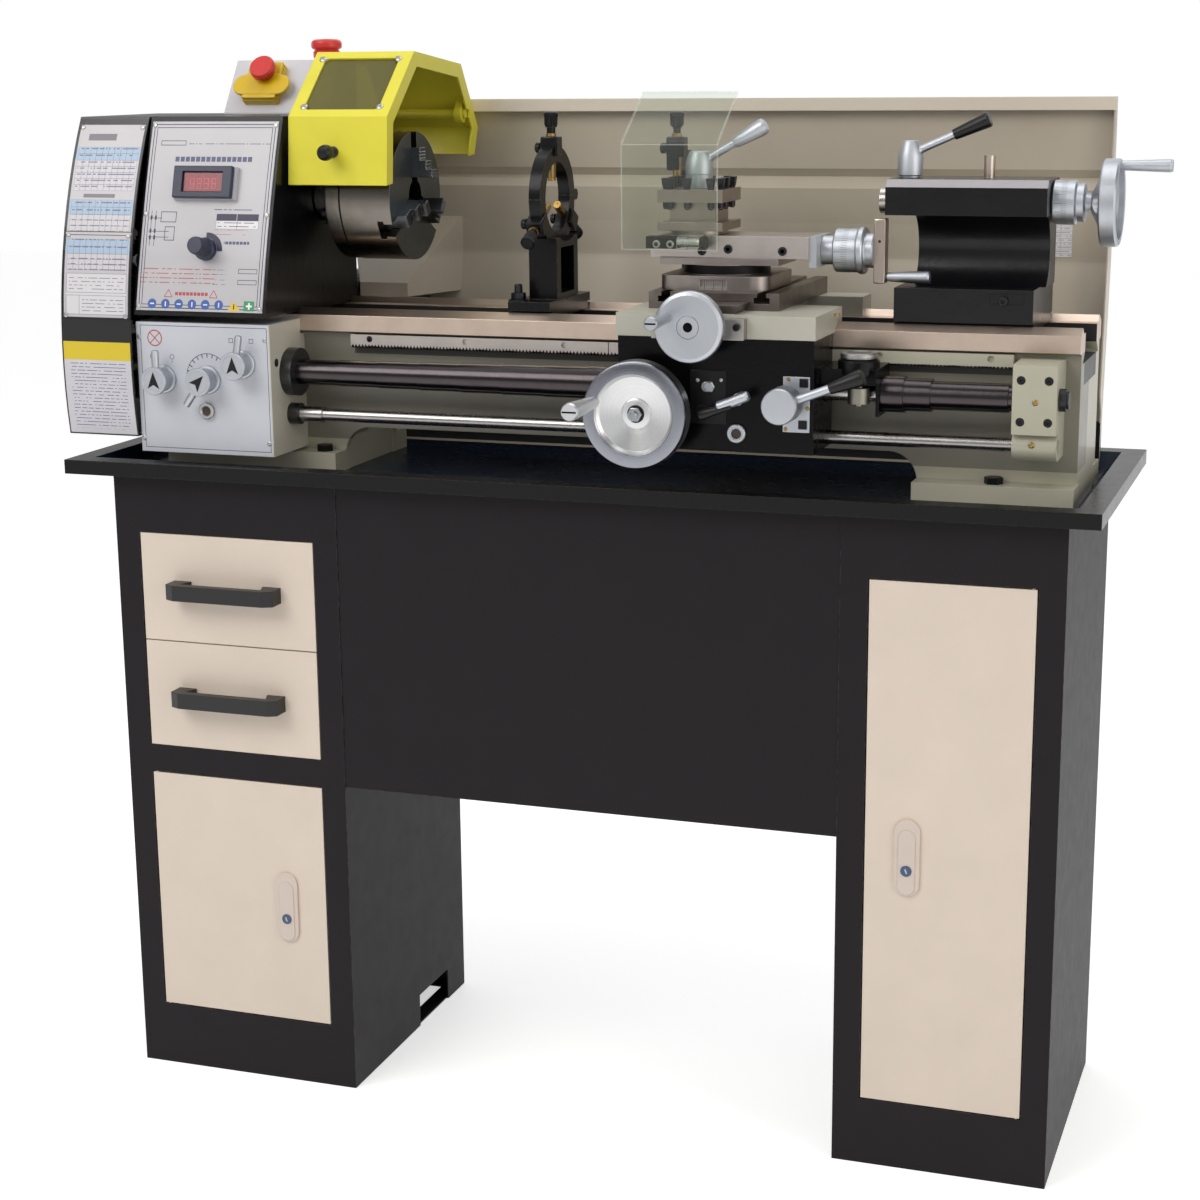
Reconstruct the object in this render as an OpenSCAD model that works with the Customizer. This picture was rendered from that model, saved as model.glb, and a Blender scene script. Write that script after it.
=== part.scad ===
// Engine lathe on a two-cabinet stand. Millimetres, +Z up, +X towards the tailstock,
// operator at -Y. The origin is on the floor, midway between the cabinets.

/* [Stand] */
// Width across both cabinets
stand_w = 1204; // [1150:1:1300]
// Depth of the cabinets
stand_d = 372; // [340:1:420]
// Height of the cabinets
stand_h = 798; // [700:1:860]
// Width of the left cabinet
left_cab_w = 310; // [280:1:340]
// Width of the right cabinet
right_cab_w = 258; // [230:1:300]
// Sheet thickness of the stand, tray and guards
sheet = 2; // [1.5:0.5:3]
// Visible frame beside each door
stile = 33; // [25:1:45]
// Visible frame under the doors
base_rail = 84; // [60:1:110]
// Visible frame above the drawers
top_rail = 71; // [50:1:90]
// Visible rail between the drawers and the left door
mid_rail = 36; // [25:1:50]
// Height of one drawer front
drawer_h = 141; // [110:1:160]
// Depth of the drawer boxes behind their fronts
drawer_d = 310; // [200:1:320]
// Thickness of doors and drawer fronts
door_t = 16; // [12:1:22]
// Depth of the frame behind the doors and drawers
frame_d = 18; // [14:1:22]
// Gap round doors and drawers
panel_gap = 1.5; // [1:0.5:2.5]
// Height of the middle front panel
panel_h = 386; // [250:1:450]
// Width of the cable notch in the cabinets' inner sides
notch_w = 100; // [60:1:140]
// Height of the cable notch
notch_h = 45; // [30:1:60]
// Length of a drawer handle
handle_w = 150; // [100:1:160]
// How far a drawer handle stands out
handle_out = 30; // [24:1:36]

/* [Tray] */
// How far the tray reaches past the stand on the right
tray_right = 38; // [20:1:60]
// Depth of the chip tray
tray_d = 450; // [430:1:500]
// How far the tray reaches past the stand on the left
tray_left = 55; // [30:1:80]
// How far the tray reaches past the stand at the front
tray_front = 25; // [10:1:35]
// Width of the tray's flat rim
rim_w = 28; // [20:1:36]
// Height of the rim above the tray floor
tray_deep = 20; // [14:1:30]
// Height of the rim's turned-down edge
rim_drop = 18; // [10:1:24]

/* [Bed] */
// Length of the bed
bed_l = 1161; // [1140:1:1200]
// Width over the two ways
bed_w = 180; // [170:1:200]
// Height of the flat ways above the feet
bed_h = 198; // [180:1:220]
// Height of the vee ridges above the flats
vee_h = 8; // [6:0.5:9]
// Height of the ground way strip
way_h = 20; // [16:1:26]
// Thickness of the bed's side walls
web_t = 12; // [10:1:16]
// How far the side walls stand back from the way face
web_back = 11; // [8:1:14]
// Height of the arch under the bed
arch_h = 56; // [40:1:70]
// Length of the left foot
left_foot_l = 239; // [210:1:260]
// Length of the right foot
right_foot_l = 186; // [160:1:210]
// Thickness of the foot flanges
foot_t = 26; // [18:1:30]
// How far the foot flanges stand out from the side walls
foot_out = 32; // [26:1:40]
// Tooth module of the rack
rack_m = 1.25; // [1:0.25:1.5]
// Distance of the rack's end from the shaft bracket
rack_gap = 8; // [4:1:40]
// Height of the rack
rack_h = 17; // [14:1:20]

/* [Headstock] */
// Height of centres above the flat ways
centre_h = 144; // [140:1:160]
// Length of the headstock
head_l = 183; // [170:1:200]
// Height of the headstock
head_h = 245; // [230:1:260]
// Wall thickness of the headstock casting
head_t = 12; // [8:1:16]
// Diameter of the bore through the spindle
spindle_bore = 26; // [20:1:32]
// Diameter of the spindle in its bearings
spindle_d = 50; // [44:1:56]
// Diameter of the spindle flange
flange_d = 104; // [90:1:120]
// Diameter of the chuck
chuck_d = 160; // [150:1:180]
// Length of the chuck with its backplate
chuck_l = 88; // [80:1:100]
// Distance from the headstock to the chuck's backplate
nose_l = 39; // [30:1:50]
// Width of a chuck jaw
jaw_w = 18; // [14:1:22]
// How far the jaws stand out of the chuck face
jaw_out = 28; // [22:1:34]
// Width of the chuck guard
guard_w = 133; // [120:1:145]
// Thickness of the chuck guard's sheet
guard_t = 2.5; // [2:0.5:3]
// Width of the end gear cover
cover_w = 99; // [90:1:110]
// Height of the feed gearbox
gearbox_h = 164; // [150:1:166]
// How far the feed gearbox stands out from the bed wall
gearbox_d = 96; // [88:1:104]
// Diameter of the feed selector knobs
selector_d = 28; // [24:1:32]
// Depth of the feed selector knobs
selector_l = 27; // [20:1:34]
// Tooth module of the change gears
gear_m = 2; // [1.5:0.25:2.25]
// Teeth on the spindle gear and on the leadscrew gear
gear_z = 40; // [36:1:44]
// Distance of the motor's shaft behind the spindle
motor_back = 144; // [140:1:150]
// Distance of the motor's shaft below the spindle
motor_drop = 157; // [150:1:160]
// Teeth on the idler gear
idler_z = 84; // [84:1:88]
// Radius of the spindle's belt pulley
pulley_r = 55; // [45:1:60]
// Radius of the motor's belt pulley
motor_pulley_r = 24; // [20:1:30]

/* [Feed shafts] */
// Diameter of the leadscrew
screw_d = 20; // [18:1:22]
// Diameter of the feed rod
rod_d = 16; // [14:1:18]
// Height of the leadscrew above the bed feet
screw_up = 130; // [125:1:136]
// Height of the feed rod above the bed feet
rod_up = 77; // [74:1:82]
// Distance of both shafts in front of the bed's side wall
shaft_out = 44; // [42:1:48]
// Diameter of the leadscrew covers at the apron
cover_big_d = 40; // [38:1:42]
// Diameter of the leadscrew covers at their far ends
cover_small_d = 31; // [28:1:34]

/* [Carriage] */
// Distance from the headstock to the saddle
saddle_x = 456; // [440:1:480]
// Length of the saddle along the bed
saddle_l = 238; // [220:1:245]
// Height of the saddle above the flat ways
saddle_h = 24; // [23:1:28]
// How far the saddle reaches in front of the ways
saddle_out = 93; // [90:1:96]
// Height of the apron
apron_h = 131; // [125:1:138]
// Diameter of the carriage handwheel
wheel_d = 128; // [110:1:134]
// Diameter of the cross-slide handwheel
cross_wheel_d = 81; // [70:1:84]
// Width of the cross slide
cross_w = 158; // [150:1:164]
// Length of the cross slide
cross_l = 237; // [220:1:250]
// Thickness of the cross slide
cross_t = 20; // [18:1:22]
// Width of the tee slots' necks
tee_w = 11; // [8:1:12]
// Side of the square swivel base
swivel_w = 134; // [124:1:140]
// Thickness of the swivel base
swivel_t = 17; // [15:1:18]
// Length of the top slide
slide_l = 193; // [180:1:200]
// Width of the top slide
slide_w = 78; // [72:1:80]
// Thickness of the top slide
slide_t = 26; // [25:1:28]
// Distance from the headstock to the tailstock barrel
tail_x = 742; // [720:1:760]
// Side of the tool turret
turret_w = 80; // [70:1:82]
// Height of a tool slot
tool_slot = 23; // [16:1:24]
// Length of the compound crank
crank_l = 72; // [60:1:74]

/* [Tailstock and steady rest] */
// Length of the tailstock barrel
barrel_l = 187; // [170:1:200]
// Width of the tailstock barrel
barrel_w = 100; // [90:1:104]
// Diameter of the quill
quill_d = 30; // [26:1:32]
// Diameter of the quill's bore
quill_bore = 18; // [14:1:20]
// Diameter of the tailstock handwheel
tail_wheel_d = 100; // [90:1:104]
// Length of the tailstock base
tail_base_l = 161; // [150:1:165]
// Distance from the headstock to the steady rest
steady_x = 279; // [270:1:290]
// Outer radius of the steady rest's ring
steady_r = 62; // [58:1:66]
// Thickness of the steady rest's ring
steady_t = 15; // [12:1:18]

/* [Splash guard] */
// Height of the splash guard above the bed feet
splash_h = 458; // [430:1:480]
// Distance of the splash guard behind the spindle axis
splash_back = 212; // [205:1:220]

/* [Fits] */
// Radial clearance of shafts in their bores
run = 0.05; // [0.03:0.01:0.08]
// Clearance between sliding faces
slip = 0.15; // [0.1:0.05:0.25]

/* [Hidden] */
$fn = 48;
big = 400;

// Stand
cab_x0 = -stand_w / 2;
cab_x1 = stand_w / 2;
front_y = -145;
back_y = front_y + stand_d;
tray_x0 = cab_x0 - tray_left;
tray_x1 = cab_x1 + tray_right;
tray_y0 = front_y - tray_front;
tray_y1 = tray_y0 + tray_d;
floor_z = stand_h + sheet;
drawer_top = stand_h - top_rail;
drawer_x0 = cab_x0 + stile;
drawer_x1 = cab_x0 + left_cab_w - stile + 1;
left_door_top = drawer_top - 2 * drawer_h - mid_rail;
right_door_x0 = cab_x1 - right_cab_w + stile;
right_door_x1 = cab_x1 - stile + 2;
hinge_in = 4.5;
hinge_back = 3;
latch_h = 95;
latch_w = 31;

// Bed, measured from the spindle axis in Y
axis_y = 46;
bed_x0 = -567;
bed_x1 = bed_x0 + bed_l;
flat_z = floor_z + bed_h;
ridge_z = flat_z + vee_h;
way_y = bed_w / 2;
ridge_y = way_y - 2 * vee_h;
vee_in = ridge_y - vee_h;
way_in = vee_in - 16;
web_y = way_y - web_back;
bed_front = axis_y - way_y;
bed_back = axis_y + way_y;
web_front = axis_y - web_y;
web_rear = axis_y + web_y;
rack_x0 = bed_x0 + 256;
rack_z = flat_z - way_h - 3;

// Headstock
head_x0 = bed_x0;
head_x1 = head_x0 + head_l;
axis_z = flat_z + centre_h;
head_top = flat_z + head_h;
chuck_x0 = head_x1 + nose_l;
chuck_x1 = chuck_x0 + chuck_l;
box_front = web_front - gearbox_d;
box_z1 = flat_z - 5;
box_z0 = box_z1 - gearbox_h;
motor_y = axis_y + motor_back;
motor_z = axis_z - motor_drop;
cover_x0 = head_x0 - 2 - cover_w;
screw_y = web_front - shaft_out;
screw_z = floor_z + screw_up;
rod_z = floor_z + rod_up;
gear_x0 = head_x0 - 38;
gear_w = 15;
belt_x0 = gear_x0 - 32;
belt_w = 22;
gear_r = gear_m * gear_z / 2;
idler_r = gear_m * idler_z / 2;
// Centre of the idler: it meshes with both gears, on the rear side of the line between them
gear_dy = screw_y - axis_y;
gear_dz = screw_z - axis_z;
gear_d = sqrt(gear_dy * gear_dy + gear_dz * gear_dz);
gear_reach = gear_r + idler_r;
gear_side = sqrt(max(0, gear_reach * gear_reach - gear_d * gear_d / 4));
idler_y = axis_y + gear_dy / 2 - gear_dz / gear_d * gear_side;
idler_z0 = axis_z + gear_dz / 2 + gear_dy / gear_d * gear_side;
mesh_a = atan2(idler_z0 - axis_z, idler_y - axis_y);
mesh_b = atan2(screw_z - idler_z0, screw_y - idler_y);
pitch_g = 360 / gear_z;
pitch_i = 360 / idler_z;
idler_phase = mesh_a + 180 - pitch_i * (0.5 - mesh_a / pitch_g);
screw_phase = mesh_b + 180 - pitch_g * (0.5 - (mesh_b - idler_phase) / pitch_i);

// Guard pivot and outline, as [y, z] from front hem to rear hem
pivot_y = 200;
pivot_z = axis_z + 98;
pivot_r = 6;
guard_x0 = head_x1 + 5;
guard_x1 = guard_x0 + guard_w;
guard_line = [[-65, axis_z + 18], [-58, axis_z + 101], [30, axis_z + 178], [180, axis_z + 162],
  [235, axis_z + 80], [221, axis_z + 45]];
slope_len = norm(guard_line[2] - guard_line[1]);
slope_a = atan2(guard_line[2][1] - guard_line[1][1], guard_line[2][0] - guard_line[1][0]);

// Switch box outline and the place of its flap
switch_x0 = head_x0 + 37;
switch_top = head_top + 68;
switch_foot = [59, head_top + 2];
switch_knee = [104, switch_top];
switch_a = atan2(switch_knee[1] - switch_foot[1], switch_knee[0] - switch_foot[0]);
flap_x = switch_x0 + 52;
flap_pin = [66, 12];
knob_x = head_x0 + 97;
knob_y = -115;
knob_z = axis_z - 59;
knob_tilt = 75;
button_x = head_x1 - 29;
button_y = 128;

// Carriage
sad_x0 = head_x1 + saddle_x;
sad_x1 = sad_x0 + saddle_l;
sad_z = flat_z + saddle_h;
sad_front = bed_front - saddle_out;
sad_z0 = flat_z - 3;
apron_z0 = sad_z0 - apron_h;
apron_back = bed_front - 2;
wheel_x = sad_x0 + 39;
wheel_z = screw_z - 19;
wheel_y = sad_front - 58;
cross_x = sad_x0 + 103;
cross_z0 = sad_z;
cross_z1 = cross_z0 + cross_t;
cross_y0 = -87;
cross_screw_z = ridge_z + 6.5;
cross_screw_r = 5;
dove_h = 10;
dove_w = 38;
swivel_x = sad_x0 + 95;
swivel_z1 = cross_z1 + swivel_t;
ring_z1 = swivel_z1 + 11;
slide_base_z1 = ring_z1 + 8;
slide_x0 = swivel_x - 84;
slide_x1 = slide_x0 + slide_l;
slide_z0 = slide_base_z1;
slide_z1 = slide_z0 + slide_t;
comp_screw_z = slide_z0 + 8.5;
comp_screw_r = 4;
turret_x = sad_x0 + 60;
turret_z0 = slide_z1;
lower_plate = 10;
upper_plate = 15;
slot_z0 = turret_z0 + 5 + lower_plate;
turret_z1 = slot_z0 + tool_slot + upper_plate;
crank_x = slide_x1 + 79;
shield_y = -62;
shield_rod = [-52, slide_z1 - 7.5];
dial_x = sad_x1 + 42;
dial_y = screw_y - 23;
nut_x = sad_x0 + 207;
feed_x = sad_x0 + 152;
feed_z = screw_z - 2;
nut_z = screw_z - 5;

// Tailstock and steady rest
tail_x0 = head_x1 + tail_x;
tail_x1 = tail_x0 + barrel_l;
tail_base_x0 = tail_x0 + 18;
base_top = flat_z + 49;
barrel_z0 = axis_z - 14;
barrel_z1 = axis_z + 27;
carve_r = 46;
steady_x1 = head_x1 + steady_x;
ring_x = steady_x1 + 25;
bracket_x0 = bed_x1 - 67;
bracket_x1 = bracket_x0 + 50;

// Splash guard
splash_y = axis_y + splash_back;
splash_z = floor_z + splash_h;
splash_x1 = bed_x1 - 5;

module block(x0, x1, y0, y1, z0, z1) {
  translate([x0, y0, z0]) cube([x1 - x0, y1 - y0, z1 - z0]);
}

module rod_x(x0, x1, y, z, r) {
  translate([x0, y, z]) rotate([0, 90, 0]) cylinder(r = r, h = x1 - x0);
}

module rod_y(x, y0, y1, z, r) {
  translate([x, y0, z]) rotate([-90, 0, 0]) cylinder(r = r, h = y1 - y0);
}

module rod_z(x, y, z0, z1, r) {
  translate([x, y, z0]) cylinder(r = r, h = z1 - z0);
}

// Extrudes a [y, z] outline along X
module along_x(x0, x1) {
  translate([x0, 0, 0]) rotate([90, 0, 90]) linear_extrude(x1 - x0) children();
}

// Extrudes an [x, z] outline along Y
module along_y(y0, y1) {
  translate([0, y1, 0]) rotate([90, 0, 0]) linear_extrude(y1 - y0) children();
}

// Turns a profile of [distance, radius] points about an axis parallel to X or Y
module turned_x(x, y, z) {
  translate([x, y, z]) rotate([0, 90, 0]) rotate_extrude() children();
}

module turned_y(x, y, z) {
  translate([x, y, z]) rotate([90, 0, 0]) rotate_extrude() children();
}

// Straight bar between two points
module bar(a, b, r0, r1) {
  v = b - a;
  h = norm(v);
  translate(a) rotate([0, acos(v[2] / h), atan2(v[1], v[0])]) cylinder(r1 = r0, r2 = r1, h = h);
}

// Points of an arc from a to b that bulges by s to its left
function arc(a, b, s, n = 10) =
  let (c = norm(b - a), r = (c * c / 4 + s * s) / (2 * s), m = (a + b) / 2,
    u = (b - a) / c, w = [-u[1], u[0]], o = m + w * (s - r), h = asin(c / 2 / r))
  [for (i = [0:n]) let (t = h - 2 * h * i / n) o + (w * cos(t) - u * sin(t)) * r];

// Toothed wheel outline about the origin, with a tooth at the angle phase
module gear_shape(m, z, phase) {
  p = 360 / z;
  r = m * z / 2;
  polygon([for (i = [0:z - 1]) for (k = [[-0.31, -1.25], [-0.11, 0.9], [0.11, 0.9], [0.31, -1.25]])
    let (a = phase + (i + k[0]) * p) (r + k[1] * m) * [cos(a), sin(a)]]);
}

// Room for the ways under what sits on them: tight on the flats, c clear elsewhere
module ways_room(c) {
  translate([axis_y - vee_in, flat_z - 60]) square([2 * vee_in, 60]);
  for (s = [-1, 1]) {
    polygon([for (p = [[vee_in - 2 * c - 1, flat_z - 60], [way_y + c, flat_z - 60],
      [way_y + c, flat_z + c], [ridge_y, ridge_z + 1.5 * c], [vee_in - 2 * c, flat_z],
      [vee_in - 2 * c - 1, flat_z]]) [axis_y + s * p[0], p[1]]]);
  }
}

// Sheet-metal cabinet with open front holes given as [x0, x1, z0, z1]
module cabinet(x0, x1, holes, notch_x) {
  y0 = front_y;
  y1 = back_y;
  flange = 25;
  deck_z = base_rail - 12;
  difference() {
    union() {
      difference() {
        block(x0, x1, y0, y1, 0, stand_h);
        block(x0 + sheet, x1 - sheet, y0 + sheet, y1 - sheet, sheet, stand_h - sheet);
        block(x0 + flange, x1 - flange, y0 + flange, y1 - flange, -1, sheet + 1);
      }
      block(x0 + sheet, x1 - sheet, y0 + sheet, y1 - sheet, deck_z, deck_z + sheet);
      for (h = holes) {
        block(h[0] - sheet, h[1] + sheet, y0 + sheet, y0 + frame_d, h[2] - 5, h[3] + 5);
      }
    }
    for (h = holes) {
      block(h[0], h[1], y0 - 1, y0 + frame_d + 1, h[2], h[3]);
    }
    block(notch_x - 3, notch_x + 3, y1 - 60 - notch_w, y1 - 60, -1, notch_h);
  }
}

// Pin holes of a door hung on a vertical axis
module hinge_holes(x, z0, z1) {
  rod_z(x, front_y + hinge_back, z0 - 3, z0 + 1, 2 + run);
  rod_z(x, front_y + hinge_back, z1 - 1, z1 + 3.3, 2 + run);
}

module left_cabinet() {
  x1 = cab_x0 + left_cab_w;
  color("#2f2b33") {
    difference() {
      cabinet(cab_x0, x1, [[drawer_x0, drawer_x1, drawer_top - 2 * drawer_h, drawer_top],
        [drawer_x0, drawer_x1, base_rail, left_door_top]], x1);
      hinge_holes(drawer_x0 + panel_gap + hinge_in, base_rail, left_door_top);
    }
    for (i = [0, 1]) {
      z = drawer_top - (i + 1) * drawer_h + panel_gap;
      block(cab_x0 + sheet, drawer_x0 + 22, front_y + frame_d, back_y - sheet, z, z + 3);
      block(drawer_x1 - 22, x1 - sheet, front_y + frame_d, back_y - sheet, z, z + 3);
    }
  }
}

module right_cabinet() {
  x0 = cab_x1 - right_cab_w;
  color("#2f2b33") difference() {
    cabinet(x0, cab_x1, [[right_door_x0, right_door_x1, base_rail, drawer_top]], x0);
    hinge_holes(right_door_x1 - panel_gap - hinge_in, base_rail, drawer_top);
  }
}

module front_panel() {
  x0 = cab_x0 + left_cab_w;
  x1 = cab_x1 - right_cab_w;
  z0 = stand_h - panel_h;
  y0 = front_y + 1;
  color("#2f2b33") difference() {
    block(x0, x1, y0, y0 + 25, z0, stand_h);
    block(x0 + sheet, x1 - sheet, y0 + sheet, y0 + 26, z0 + sheet, stand_h - sheet);
  }
}

// Angular bow handle centred at x, z on the cabinet front
module bow_handle(x, z) {
  y = front_y;
  h = handle_w / 2;
  along = [[-h, 0], [-h, -handle_out + 6], [-h + 12, -handle_out], [h - 12, -handle_out],
    [h, -handle_out + 6], [h, 0], [h - 24, 0], [h - 24, -5], [h - 18, -handle_out + 11],
    [18 - h, -handle_out + 11], [24 - h, -5], [24 - h, 0]];
  translate([x, y, z - 10]) linear_extrude(20) polygon(along);
}

// One drawer: index 0 is the upper one
module drawer(i) {
  z1 = drawer_top - i * drawer_h - panel_gap / 2;
  z0 = drawer_top - (i + 1) * drawer_h + panel_gap / 2;
  x0 = drawer_x0 + panel_gap;
  x1 = drawer_x1 - panel_gap;
  by = front_y + door_t;
  box_z0 = drawer_top - (i + 1) * drawer_h + panel_gap + 3;
  color("#dccdb9") {
    block(x0, x1, front_y, by, z0, z1);
    difference() {
      block(x0 + 3, x1 - 3, by, by + drawer_d, box_z0, z1 - 20);
      block(x0 + 3 + sheet, x1 - 3 - sheet, by + sheet, by + drawer_d - sheet, box_z0 + sheet, z1);
    }
  }
  color("#1c1c1e") bow_handle((x0 + x1) / 2, (z0 + z1) / 2);
}

module upper_drawer() {
  drawer(0);
}

module lower_drawer() {
  drawer(1);
}

// Inset door: hx is the hinge axis, lx the middle of its latch
module door(x0, x1, z0, z1, hx, lx, lz) {
  y1 = front_y + door_t;
  color("#dccdb9") difference() {
    union() {
      block(x0 + panel_gap, x1 - panel_gap, front_y, y1, z0 + panel_gap, z1 - panel_gap);
      rod_z(hx, front_y + hinge_back, z0 - 3, z0 + 3, 2);
      rod_z(hx, front_y + hinge_back, z1 - 3, z1 + 3, 2);
    }
    block(x0 + 12, x1 - 12, front_y + sheet, y1 + 1, z0 + 12, z1 - 12);
    rod_y(lx, front_y - 1, front_y + sheet + 1, lz, 8 + run);
  }
}

left_latch_x = drawer_x1 - 59;
left_latch_z = (base_rail + left_door_top) / 2 - 37;
right_latch_x = right_door_x0 + 49;
right_latch_z = (base_rail + drawer_top) / 2 - 42;

module left_door() {
  door(drawer_x0, drawer_x1, base_rail, left_door_top, drawer_x0 + panel_gap + hinge_in,
    left_latch_x, left_latch_z);
}

module right_door() {
  door(right_door_x0, right_door_x1, base_rail, drawer_top,
    right_door_x1 - panel_gap - hinge_in, right_latch_x, right_latch_z);
}

// Oval paddle that turns a cam behind the door; it is drawn unlocked, the cam hanging down
module latch(x, z) {
  r = latch_w / 2;
  up = latch_h - latch_w;
  color("#c9c4be") {
    difference() {
      along_y(front_y - 3, front_y) {
        translate([x, z]) circle(r = r);
        translate([x - r, z]) square([latch_w, up]);
        translate([x, z + up]) circle(r = r);
      }
      along_y(front_y - 4, front_y - 1.5) {
        translate([x, z + 28]) circle(r = r - 5);
        translate([x - r + 5, z + 28]) square([latch_w - 10, up - 28]);
        translate([x, z + up]) circle(r = r - 5);
      }
    }
    rod_y(x, front_y, front_y + door_t + 4.3, z, 8);
    block(x - 9, x + 9, front_y + door_t + 4.3, front_y + door_t + 7, z - 62, z + 9);
  }
}

module left_latch() {
  latch(left_latch_x, left_latch_z);
}

module right_latch() {
  latch(right_latch_x, right_latch_z);
}

// Thin slab used to hull the tray's sloping walls
module tray_slab(inset, z, t = 0.01) {
  block(tray_x0 + inset, tray_x1 - inset, tray_y0 + inset, tray_y1 - inset, z, z + t);
}

module drip_tray() {
  rim_z = floor_z + tray_deep;
  slope = 14;
  color("#16161a") difference() {
    union() {
      hull() {
        tray_slab(rim_w + slope, floor_z - sheet);
        tray_slab(rim_w - 2, rim_z - 0.01);
      }
      tray_slab(0, rim_z - sheet, sheet);
      difference() {
        tray_slab(0, rim_z - rim_drop, rim_drop);
        tray_slab(sheet, rim_z - rim_drop - 1, rim_drop + 2);
      }
    }
    hull() {
      tray_slab(rim_w + slope + 2, floor_z);
      tray_slab(rim_w, rim_z + 0.01);
    }
  }
}

// One way and side wall of the bed, on side s of the axis
module bed_side(s) {
  pts = [[way_y, flat_z - way_h], [way_y, flat_z], [ridge_y, ridge_z], [vee_in, flat_z],
    [way_in, flat_z], [way_in, flat_z - way_h], [web_y - web_t, flat_z - way_h - 12],
    [web_y - web_t, floor_z], [web_y, floor_z], [web_y, flat_z - way_h - 3]];
  along_x(bed_x0, bed_x1) polygon([for (p = pts) [axis_y + s * p[0], p[1]]]);
}

// Foot bolt places
bolt_x = [bed_x0 + left_foot_l - 22, bed_x1 - right_foot_l / 2];
bolt_y = [web_front - foot_out / 2, web_rear + foot_out / 2];

module bed() {
  arch_x0 = bed_x0 + left_foot_l;
  arch_x1 = bed_x1 - right_foot_l;
  corner = 34;
  color("#b9b9a5") difference() {
    union() {
      bed_side(-1);
      bed_side(1);
      for (x = [bed_x0, arch_x0 - 14, -90, 150, arch_x1 - 10, bed_x1 - 12]) {
        block(x, x + 12, web_front + 6, web_rear - 6, floor_z, flat_z - way_h - 14);
      }
      for (f = [[bed_x0, arch_x0], [arch_x1, bed_x1 + 1]]) {
        block(f[0], f[1], web_front - foot_out, web_front + web_t, floor_z, floor_z + foot_t);
        block(f[0], f[1], web_rear - web_t, web_rear + foot_out, floor_z, floor_z + foot_t);
      }
    }
    along_y(web_front - foot_out - 60, web_rear + foot_out + 60) {
      translate([arch_x0, floor_z - 1]) square([arch_x1 - arch_x0, arch_h + 1 - corner]);
      translate([arch_x0 + corner, floor_z]) square([arch_x1 - arch_x0 - 2 * corner, arch_h]);
      translate([arch_x0 + corner, floor_z + arch_h - corner]) circle(r = corner);
      translate([arch_x1 - corner, floor_z + arch_h - corner]) circle(r = corner);
    }
    for (x = bolt_x) for (y = bolt_y) {
      rod_z(x, y, floor_z - 1, floor_z + foot_t + 1, 6.3);
    }
  }
  color("#222222") for (x = bolt_x) for (y = bolt_y) {
    rod_z(x, y, floor_z, floor_z + foot_t, 6);
    translate([x, y, floor_z + foot_t]) cylinder(r = 11, h = 8, $fn = 6);
  }
}

module gear_rack() {
  pitch = PI * rack_m;
  rack_l = bracket_x0 - rack_gap - rack_x0;
  n = floor(rack_l / pitch);
  color("#b0a8a0") difference() {
    along_y(bed_front - 1, web_front) polygon(concat([[rack_x0, rack_z], [rack_x0, rack_z - rack_h + 3]],
      [for (i = [0:n - 1]) for (k = [[0.2, 0], [0.38, -2.25], [0.62, -2.25], [0.8, 0]])
        [rack_x0 + (i + k[0]) * pitch, rack_z - rack_h + 3 + k[1] * rack_m]],
      [[rack_x0 + rack_l, rack_z - rack_h + 3], [rack_x0 + rack_l, rack_z]]));
    for (i = [0:6]) {
      rod_y(rack_x0 + 26 + i * (rack_l - 52) / 6, bed_front - 2, bed_front + 3, rack_z - 5.5, 4);
    }
  }
}

// Front outline of the headstock and of the gear cover, from the bottom up
head_front = arc([box_front - 4, flat_z + 4], [-62, head_top], 4);
cover_front = arc([box_front - 5, floor_z + 48], [-64, head_top], 33, 14);

module headstock() {
  y1 = bed_back;
  shell = concat(head_front, [[y1, head_top], [y1, flat_z + 4]]);
  color("#17171a") {
    difference() {
      union() {
        difference() {
          along_x(head_x0, head_x1) polygon(shell);
          along_x(head_x0 + head_t, head_x1 - head_t) offset(delta = -head_t) polygon(shell);
        }
        block(head_x0, head_x1, axis_y - vee_in + 4, axis_y + vee_in - 4, flat_z, flat_z + 4.01);
        rod_x(head_x0 + head_t - 1, head_x0 + head_t + 18, axis_y, axis_z, spindle_d / 2 + 22);
        rod_x(head_x1 - head_t - 18, head_x1 - head_t + 1, axis_y, axis_z, spindle_d / 2 + 22);
      }
      rod_x(head_x0 - 1, head_x1 + 1, axis_y, axis_z, spindle_d / 2 + 12 + run);
      along_x(head_x0 - 1, head_x1 + 1) ways_room(slip);
    }
    // Stub axle of the idler gear
    rod_x(gear_x0 - 2, head_x0, idler_y, idler_z0, 8);
    rod_x(gear_x0 + gear_w + 1, head_x0, idler_y, idler_z0, 12);
    // Arm and rod of the chuck guard
    block(head_x1 - 16, head_x1, bed_back, pivot_y + 9, pivot_z - 8, head_top);
    rod_x(head_x1 - 1, guard_x1 - 3, pivot_y, pivot_z, pivot_r);
  }
  // Bearing rings
  color("#b8b8b8") for (x = [head_x0 + 2, head_x1 - 24]) {
    difference() {
      rod_x(x, x + 22, axis_y, axis_z, spindle_d / 2 + 12);
      rod_x(x - 1, x + 23, axis_y, axis_z, spindle_d / 2 + run);
    }
  }
}

module control_panel() {
  edge = 4;
  t = 1.5;
  color("#c6cad0") {
    intersection() {
      along_x(head_x0 + edge, head_x1 - edge) polygon(concat([for (p = head_front) [p[0] - t, p[1]]],
        [for (i = [len(head_front) - 1:-1:0]) head_front[i]]));
      block(head_x0, head_x1, -big, big, flat_z + 10, head_top - 6);
    }
  }
  // Display bezel, a block whose back is flush with the panel's steepest part
  color("#202024") translate([head_x0 + 89, -96.6, axis_z + 21]) rotate([-16, 0, 0]) {
    block(-43, 43, -2, 6, -20.5, 20.5);
  }
}

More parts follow.
